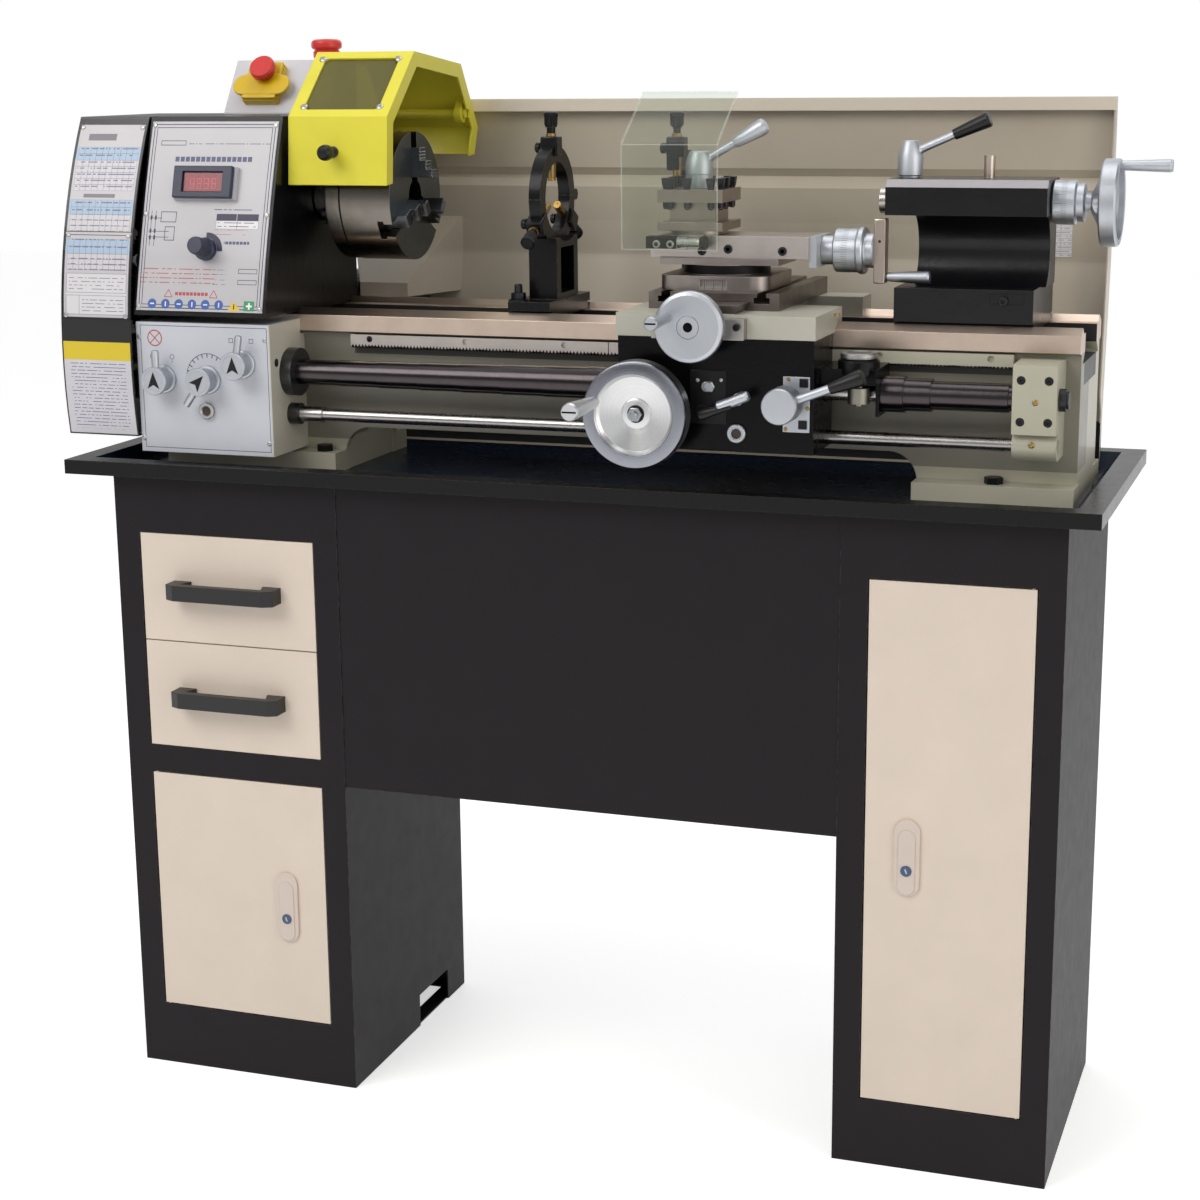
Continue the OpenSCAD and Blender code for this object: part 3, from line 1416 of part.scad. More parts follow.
module tailstock() {
  y0 = axis_y - barrel_w / 2;
  y1 = axis_y + barrel_w / 2;
  z0 = barrel_z0;
  web_x0 = tail_base_x0 + 13;
  web_x1 = tail_x1 - 2;
  base_x1 = tail_base_x0 + tail_base_l;
  color("#141417") difference() {
    union() {
      along_x(tail_x0, tail_x1) polygon([[y0, z0], [y0, barrel_z1 - 9], [y0 + 9, barrel_z1],
        [y1 - 9, barrel_z1], [y1, barrel_z1 - 9], [y1, z0]]);
      difference() {
        block(web_x0, web_x1, y0, y1 - 6, base_top - 1, z0 + 1);
        rod_x(web_x0 - 1, web_x1 + 1, 0, comp_screw_z, carve_r);
        block(web_x0 - 1, web_x1 + 1, y0 - 1, 0, base_top, z0 - 3);
      }
      block(tail_base_x0, base_x1, axis_y - 76, axis_y + 76, ridge_z + 2, base_top);
      block(tail_base_x0, base_x1, axis_y - vee_in + 1, axis_y + vee_in - 1, flat_z, ridge_z + 3);
    }
    rod_x(tail_x0 - 1, tail_x1 - 30, axis_y, axis_z, quill_d / 2 + run);
    rod_x(tail_x1 - 31, tail_x1 + 1, axis_y, axis_z, 8 + run);
    rod_z(tail_x0 + 20, axis_y - 6, axis_z + quill_d / 2 + 2, barrel_z1 + 1, 5 + run);
  }
  color("#c0ab98") rod_z(tail_x0 + 112, axis_y, barrel_z1 - 1, barrel_z1 + 26, 6.5);
}

module quill() {
  color("#b0aca8") difference() {
    rod_x(tail_x0 - 15, tail_x1 - 43, axis_y, axis_z, quill_d / 2);
    rod_x(tail_x0 - 16, tail_x0 + 45, axis_y, axis_z, quill_bore / 2);
    rod_x(tail_x0 + 44, tail_x1 - 42, axis_y, axis_z, 6.3);
  }
}

module tailstock_handwheel() {
  r = tail_wheel_d / 2;
  x = tail_x1;
  wx = x + 56;
  color("#b6b8bb") {
    turned_x(x + 0.3, axis_y, axis_z) polygon([[0, 0], [24, 0], [25.5, 2], [25.5, 26], [22, 28],
      [22, 36], [11, 37], [9, 46], [0, 46]]);
    difference() {
      turned_x(wx, axis_y, axis_z) polygon([[0, -12], [12, -12], [r - 8, 4], [r - 8, 0], [r - 2, 0],
        [r, 2], [r, 18], [r - 2, 20], [r - 8, 20], [r - 8, 13], [10, -2], [10, 6], [0, 6]]);
      for (a = [60, 180, 300]) {
        rod_x(wx - 20, wx + 20, axis_y + 27 * cos(a), axis_z + 27 * sin(a), 11);
      }
    }
    translate([wx + 19, axis_y, axis_z + r - 8]) rotate([0, 90, 0]) {
      cylinder(r1 = 5.5, r2 = 7, h = 58);
    }
  }
  color("#999999") {
    rod_x(x - 119, x + 1, axis_y, axis_z, 6);
    rod_x(x - 29.5, x + 1, axis_y, axis_z, 8);
    rod_x(x + 45, wx - 11, axis_y, axis_z, 8);
  }
}

module quill_lever() {
  x = tail_x0 + 20;
  y = axis_y - 6;
  z = barrel_z1;
  color("#a8aeb2") {
    rod_z(x, y, axis_z + quill_d / 2 + 3, z + 1, 5);
    rod_z(x, y, z, z + 24, 14.5);
    translate([x, y, z + 24]) cylinder(r1 = 14.5, r2 = 9, h = 19);
    bar([x + 8, y, z + 31], [x + 52, y, z + 50], 4.5, 4.5);
  }
  color("#151518") bar([x + 50, y, z + 49], [x + 93, y, z + 68], 6.5, 9);
}

// One radial finger with its clamp block and knob, at the angle a about the axis
module finger(a) {
  x = ring_x + steady_t / 2;
  translate([x, axis_y, axis_z]) rotate([a, 0, 0]) {
    color("#202022") block(-9, 9, steady_r - 10, steady_r + 10, -9, 9);
    color("#a08850") rod_y(0, 20, steady_r - 9, 0, 5);
    color("#202022") {
      rod_y(0, steady_r + 9, steady_r + 24, 0, 5.5);
      rod_y(0, steady_r + 23, steady_r + 40, 0, 7.5);
    }
  }
}

// Half of the steady rest's ring, above (s = 1) or below (s = -1) the spindle axis
module half_ring(s) {
  translate([ring_x, axis_y, axis_z]) rotate([90, 0, 90]) linear_extrude(steady_t) {
    difference() {
      circle(r = steady_r);
      circle(r = steady_r - 19);
      translate([-big, s > 0 ? -2 * big + 0.1 : -0.1]) square(2 * big);
    }
  }
}

hinge_y = axis_y + steady_r + 6;
ear = 4.8;

module steady_rest() {
  x0 = steady_x1;
  x1 = ring_x + steady_t;
  foot_y = axis_y - 74;
  color("#1a1a1c") {
    difference() {
      union() {
        half_ring(-1);
        for (x = [ring_x, x1 - ear]) {
          rod_x(x, x + ear, hinge_y, axis_z, 7);
        }
      }
      rod_x(ring_x + ear, x1 - ear, hinge_y, axis_z, 7.4);
    }
    rod_x(ring_x, x1, hinge_y, axis_z, 2.5);
    difference() {
      block(ring_x - 10, x1 + 12, axis_y - 38, axis_y + 38, flat_z + 20, axis_z - 48);
      rod_x(ring_x - 11, x1 + 13, axis_y, axis_z, steady_r - 8);
      block(ring_x + 4, x1 + 13, axis_y - 24, axis_y + 24, flat_z + 28, axis_z - 60);
    }
    block(x0, x0 + 55, foot_y, axis_y + 74, ridge_z + 2, flat_z + 21);
    block(x0, x0 + 55, axis_y - vee_in + 1, axis_y + vee_in - 1, flat_z, ridge_z + 3);
    translate([x0 + 9, foot_y + 14, flat_z + 21]) cylinder(r = 7, h = 9, $fn = 6);
  }
  finger(210);
  finger(330);
}

module steady_top() {
  x1 = ring_x + steady_t;
  color("#1a1a1c") {
    difference() {
      union() {
        half_ring(1);
        rod_x(ring_x + ear + 0.2, x1 - ear - 0.2, hinge_y, axis_z, 7);
      }
      for (x = [ring_x - 1, x1 - ear]) {
        rod_x(x, x + ear + 1, hinge_y, axis_z, 7.4);
      }
      rod_x(ring_x - 1, x1 + 1, hinge_y, axis_z, 2.5 + run);
    }
  }
  finger(90);
}

module splash_guard() {
  y = splash_y;
  z1 = splash_z;
  t = sheet;
  x0 = head_x1 + 1;
  x1 = splash_x1;
  line = [[y - 18, z1 - 16], [y - 18, z1], [y, z1], [y, z1 - 90], [y + 7, z1 - 99], [y - 5, z1 - 113],
    [y - 5, z1 - 202], [y - 32, floor_z + 62], [y - 32, floor_z], [y - 52, floor_z]];
  color("#b9b9a5") {
    along_x(x0, x1) polygon(concat(line, [[y - 52, floor_z + t], [y - 32 - t, floor_z + t],
      [y - 32 - t, floor_z + 62], [y - 5 - t, z1 - 202], [y - 5 - t, z1 - 113.5], [y + 7 - t, z1 - 99],
      [y - t, z1 - 89], [y - t, z1 - t], [y - 18 + t, z1 - t], [y - 18 + t, z1 - 16]]));
    // Right-hand end
    along_x(x1 - t, x1) polygon([[y, z1], [y - 18, z1], [y - 18, z1 - 16], [y - 58, floor_z + 96],
      [y - 46, floor_z + 74], [y - 46, floor_z + 2], [y - 32, floor_z], [y - 32, floor_z + 62],
      [y - 5, z1 - 202], [y - 5, z1 - 113], [y + 7, z1 - 99], [y, z1 - 90]]);
  }
  // Cover over the motor's end
  color("#b9b9a5") difference() {
    motor_hump(0);
    motor_hump(t);
  }
}

module motor_hump(t) {
  x0 = head_x1 + 3;
  // How far the roof reaches behind the headstock at its back
  wing = 70;
  y0 = bed_back + 4;
  intersection() {
    along_x(x0 - wing, head_x1 + 130) polygon([[y0 + t, flat_z + 6 - t],
      [y0 + t, flat_z + 24 - t], [splash_y - 12 - t, flat_z + 105 - t],
      [splash_y - 6, flat_z + 105 - t], [splash_y - 6, splash_z - 202], [splash_y - 13, flat_z + 6 - t]]);
    translate([0, 0, flat_z - 5]) linear_extrude(140) polygon([[x0 - 2 * t, y0 - 1],
      [x0 + 68 - t, y0 - 1], [x0 + 108 - t, splash_y + 8], [x0 - wing - 2 * t, splash_y + 8]]);
  }
}

left_cabinet();
right_cabinet();
front_panel();
drip_tray();
splash_guard();
bed();
gear_rack();
headstock();
control_panel();
feed_gearbox();
gear_cover();
switch_box();
shaft_bracket();
motor();
drive_belt();
motor_pulley();
spindle();
chuck_body();
chuck_jaw_1();
chuck_jaw_2();
chuck_jaw_3();
chuck_guard();
guard_window();
emergency_button();
switch_flap();
speed_knob();
feed_selector_1();
feed_selector_2();
feed_selector_3();
idler_gear();
leadscrew();
feed_rod();
leadscrew_cover_left();
leadscrew_cover_right();
saddle();
apron();
apron_handwheel();
feed_lever();
half_nut_lever();
thread_dial();
cross_slide();
cross_handwheel();
compound_base();
top_slide();
compound_crank();
tool_turret();
turret_lever();
tool_shield();
tailstock();
quill();
tailstock_handwheel();
quill_lever();
steady_rest();
steady_top();
upper_drawer();
lower_drawer();
left_door();
right_door();
left_latch();
right_latch();
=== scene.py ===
# %% Engine lathe: load the frame
import bpy
import bmesh
import math
from mathutils import Matrix, Vector
from mathutils.bvhtree import BVHTree


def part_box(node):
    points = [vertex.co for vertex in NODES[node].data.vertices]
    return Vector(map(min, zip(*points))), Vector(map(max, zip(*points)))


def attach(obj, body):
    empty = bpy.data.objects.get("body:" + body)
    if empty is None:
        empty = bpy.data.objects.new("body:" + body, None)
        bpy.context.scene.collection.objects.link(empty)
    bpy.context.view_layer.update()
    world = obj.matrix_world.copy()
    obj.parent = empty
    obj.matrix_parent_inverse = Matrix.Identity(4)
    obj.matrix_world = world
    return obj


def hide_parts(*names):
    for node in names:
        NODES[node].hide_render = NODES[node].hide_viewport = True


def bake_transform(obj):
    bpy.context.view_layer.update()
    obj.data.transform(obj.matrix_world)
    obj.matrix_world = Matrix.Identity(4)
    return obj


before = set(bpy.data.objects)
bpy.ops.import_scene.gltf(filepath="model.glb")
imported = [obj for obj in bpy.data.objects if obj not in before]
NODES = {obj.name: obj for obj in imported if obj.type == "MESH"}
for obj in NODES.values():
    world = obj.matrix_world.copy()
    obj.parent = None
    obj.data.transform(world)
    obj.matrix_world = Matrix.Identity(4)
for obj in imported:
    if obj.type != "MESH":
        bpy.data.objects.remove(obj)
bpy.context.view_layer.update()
MM = 0.001
print("loaded", len(NODES), "nodes")

# %% [markdown]
# ## Camera
# A long lens (69 mm on a 36 mm sensor) from nearly three metres keeps the verticals calm, as in
# catalogue pictures. The direction is written as yaw, pitch and roll, and the three axes of
# the camera are built from them, so each angle can be changed alone.

# %% Camera
def camera_axes(yaw, pitch, roll):
    yaw, pitch, roll = (math.radians(v) for v in (yaw, pitch, roll))
    ahead = Vector((-math.sin(yaw) * math.cos(pitch), math.cos(yaw) * math.cos(pitch),
                    -math.sin(pitch)))
    right = ahead.cross(Vector((0, 0, 1))).normalized()
    up = right.cross(ahead)
    turned = right * math.cos(roll) + up * math.sin(roll)
    return turned, up * math.cos(roll) - right * math.sin(roll), ahead

right, up, ahead = camera_axes(19.171, 13.141, -0.538)
lens = bpy.data.cameras.new("camera")
lens.sensor_width, lens.lens = 36, 68.816
camera = bpy.data.objects.new("camera", lens)
bpy.context.collection.objects.link(camera)
camera.matrix_world = Matrix.Translation((0.9274, -2.6628, 1.3017)) @ Matrix(
    (right, up, -ahead)).transposed().to_4x4()
bpy.context.scene.camera = camera
print("camera at", tuple(round(v, 3) for v in camera.location))

# %% [markdown]
# ## Floor and light
# The machine stands on a pale floor under three large soft lamps. The world is white for the
# camera and for what is seen through glass, and plain grey for the fill light. Mirrors see soft
# patches of light and dark in it, so polished steel keeps streaks instead of turning white.

# %% Floor and light
def look_at(obj, target):
    obj.rotation_euler = (Vector(target) - obj.location).to_track_quat("-Z", "Y").to_euler()

def soft_lamp(name, place, target, size, power, tint=(1, 1, 1)):
    data = bpy.data.lights.new(name, "AREA")
    data.shape, data.size, data.size_y = "RECTANGLE", size[0], size[1]
    data.energy, data.color = power, tint
    lamp = bpy.data.objects.new(name, data)
    bpy.context.collection.objects.link(lamp)
    lamp.location = place
    look_at(lamp, target)
    print("lamp", name)

soft_lamp("key", (-1.6, -2.6, 3.2), (0, 0, 0.8), (2.4, 2.0), 62, (1.0, 0.985, 0.96))
soft_lamp("top", (0.3, 0.3, 3.6), (0, 0, 0.9), (3.0, 1.6), 30)
soft_lamp("side", (3.2, -1.6, 1.7), (0.2, 0, 0.9), (1.2, 2.2), 22, (1.0, 0.93, 0.84))

def plain_world():
    world = bpy.data.worlds.new("studio")
    world.use_nodes = True
    tree = world.node_tree
    tree.nodes.clear()
    path = tree.nodes.new("ShaderNodeLightPath")
    seen = tree.nodes.new("ShaderNodeMath")
    seen.operation = "MAXIMUM"
    levels = {}
    for name, level in (("fill", 0.42), ("mirror", 0.62), ("seen", 1.0)):
        levels[name] = tree.nodes.new("ShaderNodeBackground")
        levels[name].inputs["Color"].default_value = (1, 1, 1, 1)
        levels[name].inputs["Strength"].default_value = level
    toward = tree.nodes.new("ShaderNodeTexCoord")
    bands = tree.nodes.new("ShaderNodeTexNoise")
    bands.inputs["Scale"].default_value = 1.7
    bands.inputs["Detail"].default_value = 1.0
    ramp = tree.nodes.new("ShaderNodeMapRange")
    for name, value in (("From Min", 0.36), ("From Max", 0.64), ("To Min", 0.1), ("To Max", 1.25)):
        ramp.inputs[name].default_value = value
    glossy = tree.nodes.new("ShaderNodeMixShader")
    direct = tree.nodes.new("ShaderNodeMixShader")
    out = tree.nodes.new("ShaderNodeOutputWorld")
    for giver, output, taker, entry in (
            (path, "Is Camera Ray", seen, 0), (path, "Is Transmission Ray", seen, 1),
            (toward, "Generated", bands, "Vector"), (bands, 0, ramp, "Value"),
            (ramp, 0, levels["mirror"], "Strength"), (path, "Is Glossy Ray", glossy, 0),
            (levels["fill"], 0, glossy, 1), (levels["mirror"], 0, glossy, 2),
            (seen, 0, direct, 0), (glossy, 0, direct, 1), (levels["seen"], 0, direct, 2),
            (direct, 0, out, 0)):
        tree.links.new(giver.outputs[output], taker.inputs[entry])
    bpy.context.scene.world = world

plain_world()
bpy.context.scene.view_settings.view_transform = "Standard"

# %% [markdown]
# ## Sockets as numbers
# Procedural finishes are sums and products of coordinates. This small class wraps a node's
# output so that `a * b + 1` builds the Math nodes by itself, and it measures in millimetres,
# like the drawing, so every place on a part can be named by its real position.

# %% Sockets as numbers
class Sock:
    def __init__(self, sheet, out):
        self.sheet, self.out = sheet, out

    def math(self, operation, *others):
        inputs = {0: self, **{i + 1: other for i, other in enumerate(others)}}
        return self.sheet.node("Math", {"operation": operation}, inputs)

    def __add__(self, other): return self.math("ADD", other)
    def __mul__(self, other): return self.math("MULTIPLY", other)
    def __sub__(self, other): return self.math("SUBTRACT", other)
    def __truediv__(self, other): return self.math("DIVIDE", other)
    def __gt__(self, other): return self.math("GREATER_THAN", other)
    def __lt__(self, other): return self.math("LESS_THAN", other)
    def __rsub__(self, other): return self.math("MULTIPLY", -1.0) + other
    def __abs__(self): return self.math("ABSOLUTE")
    __radd__ = __add__
    __rmul__ = __mul__

    def most(self, other): return self.math("MAXIMUM", other)
    def least(self, other): return self.math("MINIMUM", other)
    def root(self): return self.math("SQRT")
    def clip(self): return self.most(0.0).least(1.0)

    def wrap(self, period, phase=0.0):
        """Distance from the nearest multiple of a period."""
        return abs((self - phase).math("PINGPONG", period / 2))

def sensible(value):
    return tuple(value) + (1.0,) if isinstance(value, (tuple, list)) and len(value) == 3 else value

def srgb(code, by=1.0):
    """Colour #rrggbb as linear light, made darker or lighter by a factor."""
    parts = [int(code[i:i + 2], 16) / 255 for i in (1, 3, 5)]
    light = [p / 12.92 if p <= 0.04045 else ((p + 0.055) / 1.055) ** 2.4 for p in parts]
    return tuple(min(1.0, c * by) for c in light)

class Look:
    """Colour, roughness, metalness, clear coat and height at every point of a surface."""
    def __init__(self, colour, rough, metal=0.0, coat=0.0, height=0.0):
        self.colour, self.rough, self.metal = colour, rough, metal
        self.coat, self.height = coat, height

class Sheet:
    """One material under construction."""
    def __init__(self, name):
        self.material = bpy.data.materials.new(name)
        self.material.use_nodes = True
        self.tree = self.material.node_tree
        self.tree.nodes.clear()
        place = self.node("TexCoord", out="Object")
        self.p = self.node("VectorMath", {"operation": "SCALE"}, {0: place, "Scale": 1000.0})
        self.x, self.y, self.z = (self.node("SeparateXYZ", inputs={0: self.p}, out=i)
                                  for i in range(3))

    def node(self, kind, settings=None, inputs=None, out=0):
        node = self.tree.nodes.new("ShaderNode" + kind)
        for key, value in (settings or {}).items():
            setattr(node, key, value)
        for key, value in (inputs or {}).items():
            if isinstance(value, Sock):
                self.tree.links.new(value.out, node.inputs[key])
            else:
                socket = node.inputs[key]
                socket.default_value = value if socket.type != "RGBA" else sensible(value)
        return Sock(self, node.outputs[out])

    def point(self, x, y, z):
        return self.node("CombineXYZ", inputs={0: x, 1: y, 2: z})

    def noise(self, size, stretch=(1, 1, 1), detail=2.0, rough=0.5):
        """Cloudy values about 0.5 with features of a size in mm."""
        place = self.node("VectorMath", {"operation": "MULTIPLY"},
                          {0: self.p, 1: tuple(1 / size / s for s in stretch)})
        return self.node("TexNoise", inputs={"Vector": place, "Scale": 1.0, "Detail": detail,
                                             "Roughness": rough})

    def blend(self, a, b, part):
        """Number a where part is 0, b where it is 1."""
        return self.node("Mix", {"data_type": "FLOAT"}, {0: part, 2: a, 3: b})

    def tint(self, a, b, part):
        """Colour a where part is 0, b where it is 1."""
        return self.node("Mix", {"data_type": "RGBA"}, {0: part, 6: a, 7: b}, out=2)

    def over(self, under, top, part):
        """One look laid over another where part is 1."""
        values = [self.blend(a, b, part) if isinstance(a, Sock) or isinstance(b, Sock) or a != b
                  else a for a, b in ((under.rough, top.rough), (under.metal, top.metal),
                                      (under.coat, top.coat), (under.height, top.height))]
        return Look(self.tint(under.colour, top.colour, part), *values)

    def inside(self, x=None, y=None, z=None):
        """1 inside a box given by [low, high] pairs in mm."""
        part = None
        for value, pair in ((self.x, x), (self.y, y), (self.z, z)):
            if pair:
                here = (value > pair[0]) * (value < pair[1])
                part = here if part is None else part * here
        return part

    def away(self, x=None, y=None, z=None):
        """Distance in mm from a point, or from a line where a coordinate is left out."""
        squares = [(v - c) * (v - c) for v, c in ((self.x, x), (self.y, y), (self.z, z))
                   if c is not None]
        return sum(squares[1:], squares[0]).root()

    def edge(self, radius):
        """1 on sharp edges, 0 elsewhere: how far a rounded normal leans from the true one."""
        soft = self.node("Bevel", {"samples": 4}, {"Radius": radius * MM})
        true = self.node("NewGeometry", out="Normal")
        lean = self.node("VectorMath", {"operation": "DOT_PRODUCT"}, {0: soft, 1: true}, "Value")
        return ((1.0 - lean) * 6.0).clip()

    def done(self, look, bevel=0.8, bump=0.1, shine=0.5, **constants):
        """Principled shader with softened edges and the look's height as fine relief."""
        inputs = {"Base Color": look.colour, "Roughness": look.rough, "Metallic": look.metal,
                  "Coat Weight": look.coat, "Coat Roughness": 0.12,
                  "Specular IOR Level": shine, **constants}
        normal = self.node("Bevel", {"samples": 4}, {"Radius": bevel * MM}) if bevel else None
        if isinstance(look.height, Sock):
            shape = {"Height": look.height, "Strength": 1.0, "Distance": bump * MM}
            if normal:
                shape["Normal"] = normal
            normal = self.node("Bump", inputs=shape)
        if normal:
            inputs["Normal"] = normal
        shader = self.node("BsdfPrincipled", inputs=inputs)
        self.node_out(shader)
        return self.material

    def node_out(self, shader):
        out = self.tree.nodes.new("ShaderNodeOutputMaterial")
        self.tree.links.new(shader.out, out.inputs[0])

print("sheet tools ready")

# %% [markdown]
# ## Basic finishes
# Each finish is a Look: paint has a faint cloudy tone, a fine orange-peel height and rubbed
# edges; ground steel has long thin scratches along one axis; turned parts have rings about
# their own axis; plastic is even with a fine grain.

# %% Basic finishes
def paint(s, code, rough=0.4, coat=0.15, peel=1.6, cloud=0.05, wear=0.0, bare="#8d867c"):
    tone = s.noise(70, detail=3.0)
    shade = s.tint(srgb(code, 1 - 2 * cloud), srgb(code, 1 + 2 * cloud), tone)
    look = Look(shade, s.noise(25, detail=2.0) * 0.12 + (rough - 0.06), 0.0, coat,
                s.noise(peel, detail=1.0))
    if wear:
        rubbed = (s.edge(1.2) * ((s.noise(9, detail=4.0) - 0.42) * 6.0).clip() * wear).clip()
        look = s.over(look, Look(srgb(bare), 0.5, 0.3, 0.0, 0.5), rubbed)
    return look

def ground(s, code="#b9aca3", along="x", rough=0.3, stain=0.25):
    stretch = {"x": (60, 1, 1), "y": (1, 60, 1), "z": (1, 1, 60)}[along]
    lines = s.noise(0.55, stretch, detail=3.0, rough=0.6)
    cloud = s.noise(28, detail=4.0)
    part = ((cloud - 0.5) * 2.2 + 0.5).clip() * stain + lines * 0.25
    return Look(s.tint(srgb(code), srgb(code, 0.55), part.clip()),
                lines * 0.16 + cloud * 0.1 + (rough - 0.13), 1.0, 0.0, lines)

def turned(s, axis, centre, code="#c3c5c8", rough=0.26, pitch=0.7, stain=0.15):
    """Lathe-turned metal: rings about an axis through the centre point."""
    radius = s.away(**{k: v for k, v in zip("xyz", centre) if k != axis})
    along = getattr(s, axis)
    place = s.point(radius / pitch, along / pitch, 0.0)
    rings = s.node("TexNoise", inputs={"Vector": place, "Scale": 1.0, "Detail": 3.0})
    cloud = s.noise(18, detail=3.0)
    part = (rings - 0.35) * 0.6 + (cloud - 0.4) * stain
    return Look(s.tint(srgb(code), srgb(code, 0.6), part.clip()),
                rings * 0.14 + cloud * 0.08 + (rough - 0.11), 1.0, 0.0, rings)

def plain_metal(s, code="#c3c5c8", rough=0.3, size=0.8, stain=0.2):
    grain = s.noise(size, detail=3.0)
    part = (s.noise(15, detail=3.0) - 0.45) * 2 * stain + grain * 0.15
    return Look(s.tint(srgb(code), srgb(code, 0.6), part.clip()),
                grain * 0.14 + (rough - 0.07), 1.0, 0.0, grain)

def plastic(s, code, rough=0.38, grain=0.5):
    fleck = s.noise(grain, detail=2.0)
    return Look(s.tint(srgb(code, 0.86), srgb(code), s.noise(12, detail=2.0)),
                fleck * 0.12 + (rough - 0.06), 0.0, 0.0, fleck)

def black_cast(s, wear=0.25):
    """Gloss black enamel on a casting: slow waves under the paint and rubbed edges."""
    look = paint(s, "#0d0d10", rough=0.3, coat=0.12, peel=5.0, cloud=0.2, wear=wear,
                 bare="#5a5652")
    look.height = look.height + s.noise(16, detail=1.0) * 2.0
    return look

GREY, PANEL = "#bfbca9", "#bebcc0"

def give(node, sheet_material):
    mesh = NODES[node].data
    mesh.materials.clear()
    mesh.materials.append(sheet_material)
    for face in mesh.polygons:
        face.material_index = 0

def finish(nodes, name, make, **kind):
    """Builds one material and gives it to CAD nodes; make(sheet) returns the look."""
    sheet = Sheet(name)
    material = sheet.done(make(sheet), **kind)
    for node in nodes:
        give(node, material)
    print("finish", name, "on", len(nodes))
    return material

# %% [markdown]
# ## Printing tools
# Plates are drawn by masks in the drawing's own millimetres: a box outline is one box minus a
# smaller one, a ring is a disc minus a smaller one, and a grid is a distance to the nearest
# multiple of its pitch.

# %% Printing tools
def outline(s, x, z, width=0.7, **more):
    """A rectangle's frame line."""
    outer = s.inside(x=x, z=z, **more)
    inner = s.inside(x=(x[0] + width, x[1] - width), z=(z[0] + width, z[1] - width))
    return outer * (1.0 - inner)

def ring(s, x, z, radius, width=0.7):
    away = s.away(x=x, z=z)
    return (away < radius) * (away > radius - width)

def line(s, a, b, width=0.7):
    """A straight line from a to b in XZ."""
    across, rise = b[0] - a[0], b[1] - a[1]
    length = math.hypot(across, rise)
    along = ((s.x - a[0]) * across + (s.z - a[1]) * rise) / length
    off = ((s.x - a[0]) * rise - (s.z - a[1]) * across) / length
    return (abs(along - length / 2) < length / 2) * (abs(off) < width / 2)

def grid(s, x, z, columns, rows, width=0.5):
    """A ruled table inside a rectangle."""
    here = s.inside(x=x, z=z)
    wide, tall = (x[1] - x[0]) / columns, (z[1] - z[0]) / rows
    lines = (s.x.wrap(wide, x[0]) < width / 2).most(s.z.wrap(tall, z[0]) < width / 2)
    return here * lines

def dashes(s, x, z, pitch, row):
    """Rows of short dashes of uneven length, standing for small print."""
    here = s.inside(x=x, z=z)
    column, line_at = (s.x / pitch).math("FLOOR"), (s.z / row).math("FLOOR")
    uneven = (column * 12.9898 + line_at * 78.233).math("SINE") * 437.58
    uneven = uneven.math("FRACT")
    thin = s.z.wrap(row, row / 2) < row * 0.09
    return here * thin * (uneven > 0.3)

def ink(s, look, code, *parts):
    for part in parts:
        look = s.over(look, Look(srgb(code), 0.4), part)
    return look

print("printing tools ready")

# %% [markdown]
# ## Stand
# The cabinets are folded sheet with a fine textured powder coat in charcoal, the doors and
# drawers the same coat in cream, and the tray is gloss black. The drawer node also holds its
# handle, so the finish asks where it is: everything in front of the drawer's face is black.

# %% Stand finishes
stand_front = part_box("left_cabinet")[0].y / MM
finish(["left_cabinet", "right_cabinet", "front_panel"], "stand_paint",
       lambda s: paint(s, "#1f1c1f", rough=0.5, coat=0.02, peel=0.9, cloud=0.06, wear=0.4),
       bump=0.12, shine=0.15)

def cream(s):
    base = paint(s, "#e7d8c9", rough=0.46, coat=0.05, peel=1.0, cloud=0.03, wear=0.15)
    return s.over(base, plastic(s, "#0e0e10", rough=0.38), s.y < stand_front - 0.4)

finish(["upper_drawer", "lower_drawer", "left_door", "right_door"], "cream_paint", cream,
       bump=0.1, bevel=1.4)

tray_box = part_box("drip_tray")

def tray_look(s):
    look = paint(s, "#09090b", rough=0.26, coat=0.05, peel=2.4, cloud=0.1, wear=0.2)
    navy = paint(s, "#152032", rough=0.26, coat=0.05, peel=2.4, cloud=0.1)
    rim = 24
    inner = [(tray_box[0][i] / MM + rim, tray_box[1][i] / MM - rim) for i in (0, 1)]
    return s.over(look, navy, s.inside(x=inner[0], y=inner[1]))

finish(["drip_tray"], "tray_paint", tray_look, bump=0.05, bevel=1.5, shine=0.2)

# %% [markdown]
# ## Castings and guards in grey
# Bed, saddle, bracket and splash guard share a warm grey with large soft clouds, where oil and
# age have darkened it. On the bed and saddle the same node also has ground ways, found again
# by height above the drawing's levels.

# %% Grey finishes
FLOOR_Z, FLAT_Z, AXIS_Y, AXIS_Z = 800, 998, 46, 1142
SPINDLE, LEADSCREW = (0, AXIS_Y, AXIS_Z), (0, -77, 930)

def grey_cast(s, code=GREY, wear=0.2):
    look = paint(s, code, rough=0.36, coat=0.2, peel=3.0, cloud=0.04, wear=wear)
    age = ((s.noise(240, detail=3.0) - 0.42) * 3.0).clip() * 0.45
    look = s.over(look, Look(srgb("#a19c89"), 0.4, 0.0, 0.15, 0.5), age)
    look.height = look.height + s.noise(14, detail=1.0) * 1.5
    return look

